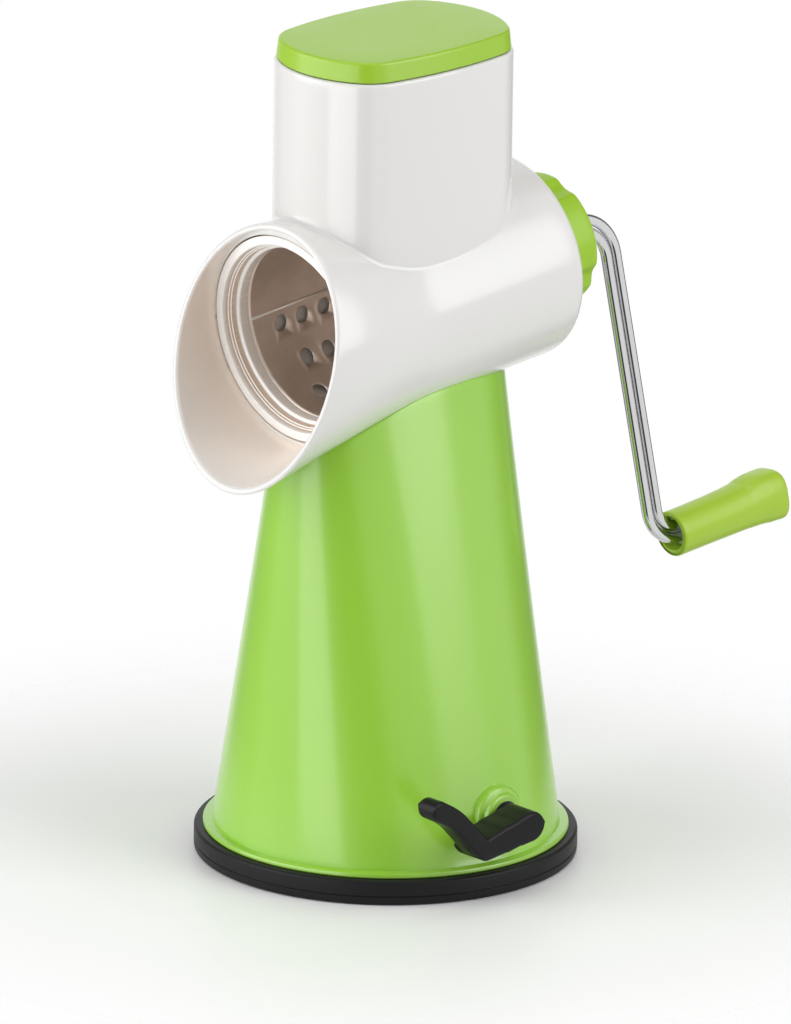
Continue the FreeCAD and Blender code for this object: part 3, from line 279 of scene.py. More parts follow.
def finish_mesh(name, points, faces, material, crease=32):
    """A smooth-shaded object of points in millimetres, with its edges sharper than crease kept crisp."""
    mesh = bpy.data.meshes.new(name)
    mesh.from_pydata([tuple(c * MM for c in p) for p in points], [], faces)
    mesh.update()
    mesh.polygons.foreach_set("use_smooth", [True] * len(mesh.polygons))
    mesh.set_sharp_from_angle(angle=math.radians(crease))
    mesh.materials.append(material)
    piece = bpy.data.objects.new(name, mesh)
    bpy.context.scene.collection.objects.link(piece)
    return piece


def skin(rings, closed=True, caps=False):
    """Points and faces of a skin laid over rings of equal length; caps closes its two ends."""
    rings = [np.asarray(ring, float) for ring in rings]
    count, size = len(rings), len(rings[0])
    points = [tuple(p) for ring in rings for p in ring]
    faces = []
    for i in range(count if closed else count - 1):
        a, b = i * size, (i + 1) % count * size
        faces += [(a + k, a + (k + 1) % size, b + (k + 1) % size, b + k) for k in range(size)]
    if caps:
        for ring, first, flip in ((rings[0], 0, True), (rings[-1], (count - 1) * size, False)):
            points.append(tuple(ring.mean(axis=0)))
            middle = len(points) - 1
            for k in range(size):
                pair = (first + k, first + (k + 1) % size)
                faces.append((*reversed(pair), middle) if flip else (*pair, middle))
    return points, faces


def rounded(corners, steps=5):
    """A closed outline with its corners rounded: corners are (a, b) or (a, b, radius)."""
    outline = []
    for index, corner in enumerate(corners):
        here = Vector(corner[:2])
        radius = corner[2] if len(corner) > 2 else 0
        if not radius:
            outline.append(tuple(here))
            continue
        before = (Vector(corners[index - 1][:2]) - here).normalized()
        after = (Vector(corners[(index + 1) % len(corners)][:2]) - here).normalized()
        half = before.angle(after) / 2
        start, stop = (here + side * radius / math.tan(half) for side in (before, after))
        centre = here + (before + after).normalized() * radius / math.sin(half)
        first, last = start - centre, stop - centre
        for step in range(steps + 1):
            outline.append(tuple(centre + first.slerp(last, step / steps) * radius))
    return outline


def turned_rings(outline, segments, place):
    """Rings of a turned piece: the outline is (along the axis, radius), place maps (along, across, up)."""
    turns = np.linspace(0, math.tau, segments, endpoint=False)
    return [place(np.full(segments, along), radius * np.cos(turns), radius * np.sin(turns))
            for along, radius in outline]


def about_vertical(along, across, out):
    """Places a turned outline round the stand's upright axis."""
    return np.stack([across, out, along], axis=-1)


def put(piece, body, slot_name, *replaced):
    """The piece takes the CAD nodes' place and rides on their body; slot_name is not used."""
    if replaced:
        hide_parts(*replaced)
    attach(piece, body)


rubber = moulded_material("moulded_rubber", RUBBER_DARK, RUBBER_DARK, RUBBER_WORN, 0.42, cloud=45,
                          peel=1600, bump=0.12, specular=0.16)
foot_outline = rounded([(0, 52, 0.3), (0, 64.9, 0.9), (2.6, 65, 0), (2.9, 64.7, 0), (3.2, 65, 0),
                        (8.4, 65, 1.1), (8.4, 42, 0.3), (5.4, 42, 0.3), (5.4, 52, 0.2)])
put(finish_mesh("rubber_foot", *skin(turned_rings(foot_outline, 256, about_vertical)), rubber),
    "stand", "black_rubber", "suction_pad")

# ---- Clamp ring, suction linkage and their screws ----
# A hard black ring and six screws hold the rubber up, and a black bush carries the lever's shaft. The
# slider, cam, rear bush and grip core are grey plastic; the screws, washer, clip and shafts are steel.

ring_plastic = moulded_material("black_moulding", (0.016, 0.016, 0.016), (0.020, 0.020, 0.019),
                                (0.05, 0.05, 0.05), 0.38, cloud=60, peel=1400, bump=0.10, specular=0.2)
bearing_plastic = moulded_material("bearing_plastic", (0.40, 0.40, 0.39), (0.46, 0.46, 0.45),
                                   (0.60, 0.60, 0.59), 0.45, cloud=80, bump=0.05)


def steel_material(name, colour, dark, roughness, lines, bump):
    """Steel with fine lines along the barrel: lines is how many there are in a metre."""
    material = bpy.data.materials.new(name)
    tree, out = shader_tree(material)
    spot = node(tree, "ShaderNodeTexCoord").outputs["Object"]
    drawn = node(tree, "ShaderNodeVectorMath", {0: spot, 1: (lines * 0.2, lines, lines * 0.2)},
                 operation="MULTIPLY")
    grain = node(tree, "ShaderNodeTexNoise", {"Vector": drawn.outputs[0], "Scale": 1.0, "Detail": 4.0,
                 "Roughness": 0.65})
    stain_and_painted_shade = node(tree, "ShaderNodeTexNoise", {"Vector": spot, "Scale": 55.0, "Detail": 3.0})
    shade = node(tree, "ShaderNodeMapRange", {"Value": stain_and_painted_shade.outputs[0], "From Min": 0.35,
                 "From Max": 0.7})
    tone = node(tree, "ShaderNodeMix", {0: shade.outputs[0], "A": (*colour, 1), "B": (*dark, 1)},
                data_type="RGBA")
    edge = link_group(tree, EDGE_WEAR, {"Start": 0.55, "End": 0.70, "Break Scale": 300})
    bright = node(tree, "ShaderNodeMix", {0: edge.outputs["Edge"], "A": tone.outputs["Result"],
                  "B": (0.80, 0.79, 0.77, 1)}, data_type="RGBA")
    rough = node(tree, "ShaderNodeMapRange", {"Value": grain.outputs[0], "From Min": 0.3, "From Max": 0.7,
                 "To Min": roughness - 0.06, "To Max": roughness + 0.10})
    skin_lines = node(tree, "ShaderNodeBump", {"Height": grain.outputs[0], "Strength": bump,
                      "Distance": 0.0003})
    stuff = node(tree, "ShaderNodeBsdfPrincipled", {"Base Color": bright.outputs["Result"],
                 "Metallic": 1.0, "Roughness": rough.outputs[0], "Normal": skin_lines.outputs[0]})
    tree.links.new(stuff.outputs[0], out.inputs["Surface"])
    return material


turned_steel = steel_material("turned_steel", (0.62, 0.61, 0.59), (0.50, 0.49, 0.47), 0.28, 2600, 0.10)


def dress(material, *names):
    """Gives kept CAD nodes their finish, and shades them smooth."""
    for name in names:
        mesh = nodes[name].data
        mesh.materials.clear()
        mesh.materials.append(material)
        mesh.polygons.foreach_set("use_smooth", [True] * len(mesh.polygons))
        mesh.set_sharp_from_angle(angle=math.radians(30))


dress(ring_plastic, "pad_clamp_ring", "cam_bush")
dress(rubber, "pad_diaphragm")
dress(bearing_plastic, "lift_yoke", "lift_cam", "rear_bush", "grip_core")
dress(turned_steel, "clamp_ring_screws", "lift_washer", "lift_screw", "cam_shaft", "lever_screw",
      "housing_screws", "drive_shaft", "shaft_clip", "hub_screws")

# ---- Stand ----
# One hollow moulding of green plastic tapers from a round foot to a long oval neck, which is scooped
# out so that the barrel lies in it. A lip runs round the foot, and a stepped boss carries the lever.

GREEN, GREEN_CLOUD, GREEN_WORN = (0.265, 0.540, 0.034), (0.285, 0.565, 0.044), (0.45, 0.70, 0.16)
FOOT_RADIUS, FOOT_HEIGHT = 59.27, 8.4
LIP = [(61.4, 8.4), (61.8, 8.5), (62.0, 8.8), (62.0, 9.6), (61.8, 10.0), (61.4, 10.2), (59.4, 10.22),
       (59.0, 10.34)]  # radius, height
LIP_HEIGHT = 2.5
NECK_HALF_WIDTH, NECK_HALF_LENGTH, NECK_HEIGHT = 23.2, 44.9, 178
NECK_EDGE = 0.7
STAND_WALL = 2.5
LEVER_AXIS_HEIGHT = 25
AXIS_HEIGHT, BARREL_TILT = 193.9, math.radians(6)
SADDLE_GAP = 0.1
FLARE = np.array([(-92, 39, 45.5, -2.4), (-47.5, 39, 40.2, 0.6), (-8, 36, 36, 0), (20, 36, 36, 0),
                  (60, 36, 36, 0)])  # distance back, half width, half height, rise


def barrel_place(along, across, up):
    """From distances back along the barrel, across it and up from its axis, to the table's axes."""
    slant, level = math.sin(BARREL_TILT), math.cos(BARREL_TILT)
    return np.stack([across, along * level - up * slant,
                     AXIS_HEIGHT + along * slant + up * level], axis=-1)


def smooth_through(stations, column, along):
    """A smooth curve through the stations' values in one column, level from the third station on."""
    x, y = stations[:, 0], stations[:, column]
    slope = np.gradient(y, x)
    slope[2:] = 0
    along = np.clip(along, x[0], x[-1])
    k = np.clip(np.searchsorted(x, along) - 1, 0, len(x) - 2)
    span = x[k + 1] - x[k]
    t = (along - x[k]) / span
    return ((1 + 2 * t) * (1 - t) ** 2 * y[k] + t * (1 - t) ** 2 * span * slope[k]
            + t * t * (3 - 2 * t) * y[k + 1] + t * t * (t - 1) * span * slope[k + 1])


def barrel_depth(point, growth=0.0):
    """Below 0 inside the barrel's outer form grown by a distance, above 0 outside it."""
    x, y, z = np.moveaxis(np.asarray(point, float), -1, 0)
    slant, level = math.sin(BARREL_TILT), math.cos(BARREL_TILT)
    along = y * level + (z - AXIS_HEIGHT) * slant
    up = -y * slant + (z - AXIS_HEIGHT) * level
    wide, high, rise = (smooth_through(FLARE, column, along) for column in (1, 2, 3))
    return np.hypot(x / (wide + growth), (up - rise) / (high + growth)) - 1


def cone_point(turns, share, inset):
    """A point of the stand's side at a share of the way from foot to neck."""
    wide = (FOOT_RADIUS - inset) * (1 - share) + (NECK_HALF_WIDTH - inset) * share
    long = (FOOT_RADIUS - inset) * (1 - share) + (NECK_HALF_LENGTH - inset) * share
    height = FOOT_HEIGHT + (NECK_HEIGHT - FOOT_HEIGHT) * share
    return np.stack([wide * np.cos(turns), long * np.sin(turns), height + 0 * turns], axis=-1)


turns = np.linspace(0, math.tau, 320, endpoint=False)


def rim_share(inset):
    """How far up the stand's side runs before it meets the saddle."""
    low, high = np.full(len(turns), 0.5), np.full(len(turns), 1.0)
    for _ in range(40):
        middle = (low + high) / 2
        inside = barrel_depth(cone_point(turns, middle, inset), SADDLE_GAP) < 0
        low, high = np.where(inside, low, middle), np.where(inside, middle, high)
    return low


rim_outer, rim_inner = rim_share(0), rim_share(STAND_WALL)
stand_rings = [cone_point(turns, 0 * turns, STAND_WALL + 0.5)]
for radius, height in LIP:
    stand_rings.append(about_vertical(height + 0 * turns, radius * np.cos(turns), radius * np.sin(turns)))
foot_share = LIP_HEIGHT / (NECK_HEIGHT - FOOT_HEIGHT)
edge_share = NECK_EDGE / (NECK_HEIGHT - FOOT_HEIGHT)
for step in np.linspace(0, 1, 90):
    stand_rings.append(cone_point(turns, foot_share + (rim_outer - edge_share - foot_share) * step, 0))
for bend in np.linspace(0, math.pi / 2, 5)[1:]:
    share = rim_outer - edge_share * (1 - math.sin(bend))
    stand_rings.append(cone_point(turns, share, NECK_EDGE * (1 - math.cos(bend))))
for step in np.linspace(0, 1, 24):
    stand_rings.append(cone_point(turns, rim_inner - (rim_inner - 0.004) * step, STAND_WALL))
green = moulded_material("green_moulding", GREEN, GREEN_CLOUD, GREEN_WORN, 0.30, cloud=14, peel=700,
                         bump=0.03, coat=0.7, coat_roughness=0.16)
stand = finish_mesh("stand", *skin(stand_rings), green)


def about_lever(along, across, out):
    """Places a turned outline round the lever's shaft."""
    return np.stack([along, across, LEVER_AXIS_HEIGHT + out], axis=-1)


boss_outline = rounded([(44, 3.8), (44, 10.2), (57.0, 10.0, 1.4), (57.4, 8.0, 0.4), (59.1, 7.6, 0.9),
                        (59.5, 3.6, 0.3)])
boss = finish_mesh("lever_boss", *skin(turned_rings(boss_outline, 96, about_lever)), green)


def unite(piece, other, operation="UNION"):
    """Joins a closed piece with another, or cuts it, and throws the other away."""
    tool = piece.modifiers.new("joined", "BOOLEAN")
    tool.object, tool.operation, tool.solver = other, operation, "EXACT"
    graph = bpy.context.evaluated_depsgraph_get()
    mesh = bpy.data.meshes.new_from_object(piece.evaluated_get(graph))
    piece.modifiers.clear()
    old = piece.data
    piece.data = mesh
    bpy.data.meshes.remove(old)
    mesh_left = other.data
    bpy.data.objects.remove(other)
    bpy.data.meshes.remove(mesh_left)
    return piece


def reshade(piece, crease):
    """Smooths a joined piece again, with its edges sharper than crease kept crisp."""
    piece.data.polygons.foreach_set("use_smooth", [True] * len(piece.data.polygons))
    piece.data.set_sharp_from_angle(angle=math.radians(crease))
    return piece


put(reshade(unite(stand, boss), 28), "stand", "green_plastic", "stand_shell")

# ---- Suction lever ----
# A stout black moulding: a round hub closed over the shaft's screw, a deep bar down to an elbow and a
# slimmer finger grip that rises again. Its edges are softly rounded and it has a fine matt texture.

LEVER_FACE, LEVER_END = 59.9, 73.45
FINGER_DEPTH = 8.5
BEND_EASE = 4.0


def bar_rings(stations, corner, sides=7):
    """Rings of a rounded bar: stations are (y, z, lean, half height, inner x, outer x)."""
    rings = []
    for y, z, lean, half, inner, outer in stations:
        middle, depth = (inner + outer) / 2, (outer - inner) / 2
        round_off = min(corner, half * 0.98, depth * 0.98)
        ring = []
        for quarter, (side, top) in enumerate([(1, 1), (-1, 1), (-1, -1), (1, -1)]):
            for bend in np.linspace(0, math.pi / 2, sides) + quarter * math.pi / 2:
                x = middle + side * (depth - round_off) + round_off * math.cos(bend)
                up = top * (half - round_off) + round_off * math.sin(bend)
                ring.append((x, y - up * math.sin(lean), LEVER_AXIS_HEIGHT + z + up * math.cos(lean)))
        rings.append(ring)
    return rings


def path_stations(path, halves, inner, outer, round_start, round_end, steps=10):
    """Stations along a bent path with rounded ends; its corners are eased by a small arc."""
    spots, leans, widths = [], [], []
    points = [Vector(p) for p in path]
    runs = [points[k + 1] - points[k] for k in range(len(points) - 1)]
    for k, run in enumerate(runs):
        lean = math.atan2(-run.y, -run.x)
        start = 0 if k == 0 else BEND_EASE / run.length
        stop = 1 if k == len(runs) - 1 else 1 - BEND_EASE / run.length
        for share in np.linspace(start, stop, 8):
            spots.append(points[k] + run * share)
            leans.append(lean)
            widths.append(halves[k] * (1 - share) + halves[k + 1] * share)
        if k < len(runs) - 1:
            lean_after = math.atan2(-runs[k + 1].y, -runs[k + 1].x)
            a, b, c = spots[-1], points[k + 1], points[k + 1] + runs[k + 1].normalized() * BEND_EASE
            for share in np.linspace(0, 1, 8)[1:-1]:
                spots.append(a * (1 - share) ** 2 + b * 2 * share * (1 - share) + c * share ** 2)
                leans.append(lean * (1 - share) + lean_after * share)
                widths.append(halves[k + 1])
    stations = []
    first = runs[0].normalized()
    for bend in np.linspace(math.radians(8), math.pi / 2, steps)[:-1]:
        half = halves[0] * math.sin(bend)
        spot = points[0] - first * halves[0] * math.cos(bend) * round_start
        stations.append((spot.x, spot.y, leans[0], half, inner, outer))
    stations += [(s.x, s.y, lean, half, inner, outer) for s, lean, half in zip(spots, leans, widths)]
    last = runs[-1].normalized()
    for bend in np.linspace(math.pi / 2, math.radians(8), steps)[1:]:
        half = halves[-1] * math.sin(bend)
        spot = points[-1] + last * halves[-1] * math.cos(bend) * round_end
        stations.append((spot.x, spot.y, leans[-1], half, inner, outer))
    return stations


black_moulding = moulded_material("lever_moulding", (0.007, 0.007, 0.008), (0.010, 0.010, 0.011),
                                  (0.04, 0.04, 0.04), 0.30, cloud=60, peel=1500, bump=0.14, specular=0.14)
bar = finish_mesh("lever_arm", *skin(bar_rings(path_stations(
    [(0, -0.2), (-9, -1.9), (-20.5, -4.2)], [5.3, 4.7, 3.9], LEVER_FACE, LEVER_END, 1.0, 0.9), 1.3),
    closed=False, caps=True), black_moulding)
finger = finish_mesh("lever_finger", *skin(bar_rings(path_stations(
    [(-17.5, -3.8), (-21.5, -4.3), (-34.6, 9.6), (-42.4, 14.0)], [3.2, 3.6, 3.5, 3.6],
    LEVER_END - FINGER_DEPTH, LEVER_END, 0.6, 0.95), 1.5), closed=False, caps=True), black_moulding)
put(reshade(unite(bar, finger), 34), "lever", "black_plastic", "lever_arm")

# ---- Barrel housing ----
# The white barrel, feed chute and slanted mouth are one glossy moulding of even thickness. The chute
# runs into the barrel with a small fillet, and the mouth's rim is rounded.

WHITE, WHITE_CLOUD, WHITE_WORN = (0.690, 0.682, 0.665), (0.715, 0.708, 0.692), (0.78, 0.77, 0.76)
BARREL_RADIUS, BARREL_WALL, BARREL_REAR, REAR_WALL = 36, 2.2, 56, 4
REAR_EDGE = 3.2
REAR_RINGS = (8, 14, 22)  # the bush's hole and two rings round it
FLARE_START = -8
BORE_RADIUS, BORE_END = 33.3, 52
THROAT, THROAT_RADIUS, THROAT_TAPER = -47.5, 36.8, ((-44, 36.6), (-40, 36.3))
SEAT_DEPTH, SEAT_RADIUS = -36, 36.1
MOUTH_MIDDLE, MOUTH_SLOPE = -62.9, 0.38
RIM_ROUND = 1.0
barrel_turns = np.linspace(0, math.tau, 288, endpoint=False)


def painted_warm_shade_group():
    """Painted warm reflection and shade: 1 on the inward sides of the barrel and drum, between distances
    back along the barrel.
    """
    group, given, result = new_group("painted_warm_shade", [("Front", -0.09), ("Full", -0.05), ("Fade", -0.03),
                                     ("Gone", -0.02), ("Left", 0.0)], ["Stain"])
    spot = node(group, "ShaderNodeTexCoord")
    axis = (0, math.cos(BARREL_TILT), math.sin(BARREL_TILT))
    from_axis = node(group, "ShaderNodeVectorMath", {0: spot.outputs["Object"],
                     1: (0, 0, AXIS_HEIGHT * MM)}, operation="SUBTRACT").outputs[0]
    along = node(group, "ShaderNodeVectorMath", {0: from_axis, 1: axis},
                 operation="DOT_PRODUCT").outputs["Value"]
    outwards = node(group, "ShaderNodeVectorMath", {0: spot.outputs["Normal"], 1: from_axis},
                    operation="DOT_PRODUCT").outputs["Value"]
    inside = node(group, "ShaderNodeMapRange", {"Value": outwards, "From Min": 0.004, "From Max": -0.004})
    start = node(group, "ShaderNodeMapRange", {"Value": along, "From Min": given.outputs["Front"],
                 "From Max": given.outputs["Full"]}, interpolation_type="SMOOTHSTEP")
    stop = node(group, "ShaderNodeMapRange", {"Value": along, "From Min": given.outputs["Fade"],
                "From Max": given.outputs["Gone"], "To Min": 1.0, "To Max": given.outputs["Left"]})
    streaks = node(group, "ShaderNodeTexNoise", {"Vector": spot.outputs["Object"], "Scale": 45.0,
                   "Detail": 3.0})
    uneven = node(group, "ShaderNodeMapRange", {"Value": streaks.outputs[0], "From Min": 0.3,
                  "From Max": 0.7, "To Min": 0.75, "To Max": 1.0})
    part = node(group, "ShaderNodeMath", {0: inside.outputs[0], 1: start.outputs[0]}, operation="MULTIPLY")
    part = node(group, "ShaderNodeMath", {0: part.outputs[0], 1: stop.outputs[0]}, operation="MULTIPLY")
    part = node(group, "ShaderNodeMath", {0: part.outputs[0], 1: uneven.outputs[0]}, operation="MULTIPLY")
    group.links.new(part.outputs[0], result.inputs["Stain"])
    return group


PAINTED_WARM_SHADE = painted_warm_shade_group()


def oval_ring(along, inset):
    """A ring of the barrel's flared form at distances along it, moved inwards."""
    along = along + 0 * barrel_turns
    wide, high, rise = (smooth_through(FLARE, column, along) for column in (1, 2, 3))
    return barrel_place(along, (wide - inset) * np.cos(barrel_turns),
                        rise + (high - inset) * np.sin(barrel_turns))


def round_ring(along, radius):
    """A round ring about the barrel's axis."""
    return barrel_place(along + 0 * barrel_turns, radius * np.cos(barrel_turns),
                        radius * np.sin(barrel_turns))


def mouth_reach(inset):
    """Where along the barrel each line of its side meets the slanted mouth."""
    along = np.full(len(barrel_turns), float(MOUTH_MIDDLE))
    for _ in range(30):
        high, rise = smooth_through(FLARE, 2, along), smooth_through(FLARE, 3, along)
        along = MOUTH_MIDDLE + MOUTH_SLOPE * (rise + (high - inset) * np.sin(barrel_turns))
    return along


barrel_rings = [round_ring(BARREL_REAR, radius) for radius in REAR_RINGS]
for bend in np.linspace(0, math.pi / 2, 10):
    barrel_rings.append(round_ring(BARREL_REAR - REAR_EDGE * (1 - math.cos(bend)),
                                   BARREL_RADIUS - REAR_EDGE * (1 - math.sin(bend))))
barrel_rings += [round_ring(along, BARREL_RADIUS) for along in np.linspace(48, FLARE_START, 30)]
outer_stop = mouth_reach(0) + RIM_ROUND
inner_stop = mouth_reach(BARREL_WALL) + RIM_ROUND
for step in np.linspace(0, 1, 44)[1:]:
    barrel_rings.append(oval_ring(FLARE_START + (outer_stop - FLARE_START) * step, 0))
rim_out, rim_in = oval_ring(outer_stop, 0), oval_ring(inner_stop, BARREL_WALL)
wall_vector, rim_middle = (rim_out - rim_in) / 2, (rim_out + rim_in) / 2
forward = barrel_place(-1.0, 0.0, 0.0) - barrel_place(0.0, 0.0, 0.0)
for bend in np.linspace(0, math.pi, 9)[1:-1]:
    barrel_rings.append(rim_middle + wall_vector * math.cos(bend) + forward * RIM_ROUND * math.sin(bend))
for step in np.linspace(0, 1, 26):
    barrel_rings.append(oval_ring(inner_stop + (THROAT - inner_stop) * step, BARREL_WALL))
barrel_rings += [round_ring(along, radius) for along, radius in (
    (THROAT + 0.02, THROAT_RADIUS), *THROAT_TAPER, (SEAT_DEPTH, SEAT_RADIUS))]
barrel_rings += [round_ring(along, BORE_RADIUS) for along in np.linspace(SEAT_DEPTH, BORE_END, 30)]
barrel_rings += [round_ring(BARREL_REAR - REAR_WALL, radius) for radius in reversed(REAR_RINGS)]
# The white's warm tint inside the mouth is a painted warm reflection.
white = moulded_material("white_moulding", WHITE, WHITE_CLOUD, WHITE_WORN, 0.16, cloud=12, peel=600,
                         bump=0.025, coat=0.3, stain_and_painted_shade=(0.97, 0.85, 0.74),
                         painted_shade_reach={"Front": -0.092, "Full": -0.052, "Fade": -0.030, "Gone": -0.020})
housing = finish_mesh("barrel_housing", *skin(barrel_rings), white)

CHUTE_TOP, CHUTE_MIDDLE = 280.8, -0.9
CHUTE_HALF_WIDTH, CHUTE_HALF_LENGTH = 29.5, 42
CHUTE_CORNER, CHUTE_CORNER_RADIUS = (11.5, 22.5), 16
CHUTE_WALL, CHUTE_RIM, SHAFT_RIM = 2.5, 1.0, 0.9
CHUTE_FILLET, CHUTE_TOE_SUNK, CHUTE_ROOT_SUNK = 2.0, 0.18, 1.1
CHUTE_INSIDE = 6  # how far the chute's closed ends reach in from its side
ARC_STEPS = 18


def oval_arcs():
    """Arcs (centre x, centre y, radius, start, stop) of the chute's plan, which bulges on all sides."""
    across, along = CHUTE_CORNER
    radius = CHUTE_CORNER_RADIUS
    wide, long = CHUTE_HALF_WIDTH - across, CHUTE_HALF_LENGTH - along
    side = (wide ** 2 + along ** 2 - radius ** 2) / (2 * (wide - radius))
    end = (long ** 2 + across ** 2 - radius ** 2) / (2 * (long - radius))
    side_turn, end_turn = math.asin(along / (side - radius)), math.acos(across / (end - radius))
    side_x, end_y = CHUTE_HALF_WIDTH - side, CHUTE_HALF_LENGTH - end
    arcs = []
    for quarter in range(4):
        right, rear = (1, -1, -1, 1)[quarter], (1, 1, -1, -1)[quarter]
        base = quarter * math.pi / 2
        corner = (side_turn, end_turn) if quarter % 2 == 0 else (math.pi / 2 - end_turn,
                                                                 math.pi / 2 - side_turn)
        arcs.append((right * across, rear * along, radius, base + corner[0], base + corner[1]))
        if quarter % 2 == 0:
            arcs.append((0, rear * end_y, end, base + end_turn, base + math.pi - end_turn))
        else:
            arcs.append((right * side_x, 0, side, base + math.pi / 2 - side_turn,
                         base + math.pi / 2 + side_turn))
    return arcs


oval_centres, oval_turns, oval_radii = [], [], []
for x, y, radius, start, stop in oval_arcs():
    for turn in np.linspace(start, stop, ARC_STEPS, endpoint=False):
        oval_centres.append((x, y + CHUTE_MIDDLE))
        oval_turns.append(turn)
        oval_radii.append(radius)
oval_centres, oval_turns, oval_radii = map(np.array, (oval_centres, oval_turns, oval_radii))
oval_normals = np.stack([np.cos(oval_turns), np.sin(oval_turns)], axis=-1)


def chute_ring(inset, height):
    """A ring of the chute's plan moved inwards, at one height or at a height for each point."""
    flat = oval_centres + oval_normals * (oval_radii - inset)[:, None]
    return np.concatenate([flat, np.broadcast_to(height, oval_turns.shape)[:, None]], axis=1)


def barrel_top(flat, inset=0.0):
    """The height of the barrel's upper side over points of the plan."""
    low, high = np.full(len(flat), AXIS_HEIGHT), np.full(len(flat), 260.0)
    for _ in range(40):
        middle = (low + high) / 2
        inside = barrel_depth(np.concatenate([flat, middle[:, None]], axis=1), -inset) < 0
        low, high = np.where(inside, middle, low), np.where(inside, high, middle)
    return low


# A ball of the fillet's radius rolls down the chute's side until it rests on the barrel. The first ring
# of the fillet runs on past the place where it touches, under the barrel's skin.
reaches = np.linspace(0, 2 * CHUTE_FILLET, 65)
surface = np.stack([barrel_top(chute_ring(-reach, 0)[:, :2]) for reach in reaches])
ball = surface + np.sqrt(np.maximum(CHUTE_FILLET ** 2 - (reaches - CHUTE_FILLET) ** 2, 0))[:, None]
touch = ball.argmax(axis=0)
centre_height = ball.max(axis=0)
stop_turn = np.arctan2(surface[touch, range(len(touch))] - centre_height,
                       reaches[touch] - CHUTE_FILLET)
stop_turn = np.where(stop_turn > 0, stop_turn - math.tau, stop_turn)
chute_rings = [chute_ring(inset, barrel_top(chute_ring(inset, 0)[:, :2], CHUTE_ROOT_SUNK))
               for inset in (CHUTE_INSIDE, 0.4)]
for share in np.linspace(1.04, 0, 9):
    bend = -math.pi + (stop_turn + math.pi) * share
    out = CHUTE_FILLET + CHUTE_FILLET * np.cos(bend)
    if share > 1:
        foot_height = barrel_top(chute_ring(-out, 0)[:, :2], CHUTE_ROOT_SUNK)
        chute_rings.append(chute_ring(-out, foot_height))
    sunk = CHUTE_TOE_SUNK if share > 0.99 else 0
    chute_rings.append(chute_ring(-out, centre_height + CHUTE_FILLET * np.sin(bend) - sunk))
for share in np.linspace(0, 1, 26)[1:]:
    chute_rings.append(chute_ring(0, centre_height * (1 - share) + (CHUTE_TOP - CHUTE_RIM) * share))
for bend in np.linspace(0, math.pi / 2, 6)[1:]:
    chute_rings.append(chute_ring(CHUTE_RIM * (1 - math.cos(bend)),
                                  CHUTE_TOP - CHUTE_RIM * (1 - math.sin(bend))))
chute_rings.append(chute_ring(CHUTE_INSIDE, CHUTE_TOP))
chute = finish_mesh("chute", *skin(chute_rings, closed=False, caps=True), white)
shaft_rings = [chute_ring(CHUTE_WALL + 0.3, 200.0), chute_ring(CHUTE_WALL + 0.3, 226.0)]
shaft_rings += [chute_ring(CHUTE_WALL, height) for height in np.linspace(232, CHUTE_TOP - SHAFT_RIM, 16)]
for bend in np.linspace(0, math.pi / 2, 5)[1:]:
    shaft_rings.append(chute_ring(CHUTE_WALL - SHAFT_RIM * (1 - math.cos(bend)),
                                  CHUTE_TOP - SHAFT_RIM * (1 - math.sin(bend))))
shaft_rings.append(chute_ring(CHUTE_WALL - 1.0, CHUTE_TOP + 2))
shaft = finish_mesh("chute_shaft", *skin(shaft_rings, closed=False, caps=True), white)
put(reshade(unite(unite(housing, chute), shaft, "DIFFERENCE"), 30), "stand", "white_plastic",
    "barrel_housing")

# ---- Drum ----
# A sleeve of thin stainless sheet, pierced with rows of round holes whose lips are pushed outwards to
# shred. A plain strip runs beside its folded seam. White plastic ends hold it: a funnel at the front,
# a closed disc with a hexagonal socket at the rear.

SLEEVE_RADIUS, SLEEVE_SHEET = 31.0, 0.6
SLEEVE_FRONT, SLEEVE_BACK = -38.3, 46.0
TOOTH_LINES, TOOTH_ROWS, PLAIN_LINES = 14, 7, (11, 12)
TOOTH_HOLE, TOOTH_PITCH, TOOTH_FIRST, TOOTH_TURN = 2.8, 9.8, -24.5, math.radians(-2.4)
TOOTH_LIFT, SCOOP_NARROW, SCOOP_REACH, SCOOP_FALL = 1.5, 1.3, 0.85, 1.7
TURN_STEPS = 11200  # places round the sleeve that its points snap to
CELL_STEPS, CELL_LOOPS = 8, 7  # along one tooth's cell, an even number, and from its hole outwards
LOOP_SPREAD = 1.25
SEAM_TURNS, SEAM_SUNK = (math.radians(263.4), math.radians(264.9)), 0.86

# The brown tint in the funnel's stepped inside is painted shade with a warm reflection in it.
drum_plastic = moulded_material("drum_moulding", (0.86, 0.84, 0.81), (0.88, 0.86, 0.83),
                                (0.88, 0.87, 0.84), 0.26, cloud=30, bump=0.03, coat=0.3,
                                stain_and_painted_shade=(0.66, 0.50, 0.38), painted_shade_reach={"Front": -0.0472, "Full": -0.0455,
                                "Fade": -0.0432, "Gone": -0.0420, "Left": 0.3})
funnel = rounded([(-47.5, 33.2, 0.5), (-47.5, 36.3, 0.5), (-36.5, 35.6, 0.3), (-36.5, 32.75),
                  (-28, 32.75, 0.3), (-28, 31.05, 0.1), (-38.3, 31.05), (-38.3, 30.4, 0.2),
                  (-42.0, 30.5, 0.7), (-42.4, 31.6, 0.2), (-44.4, 31.9, 0.1), (-44.5, 32.3, 0.1),
                  (-45.2, 32.4, 0.1), (-45.3, 32.8, 0.1)])
put(finish_mesh("drum_funnel", *skin(turned_rings(funnel, 192, barrel_place)), drum_plastic, 40),
    "drum", "drum_plastic", "drum_front_ring")
dress(drum_plastic, "drum_rear_hub")

line_width = math.tau / TOOTH_LINES
sheet_points, sheet_faces, known = [], [], {}


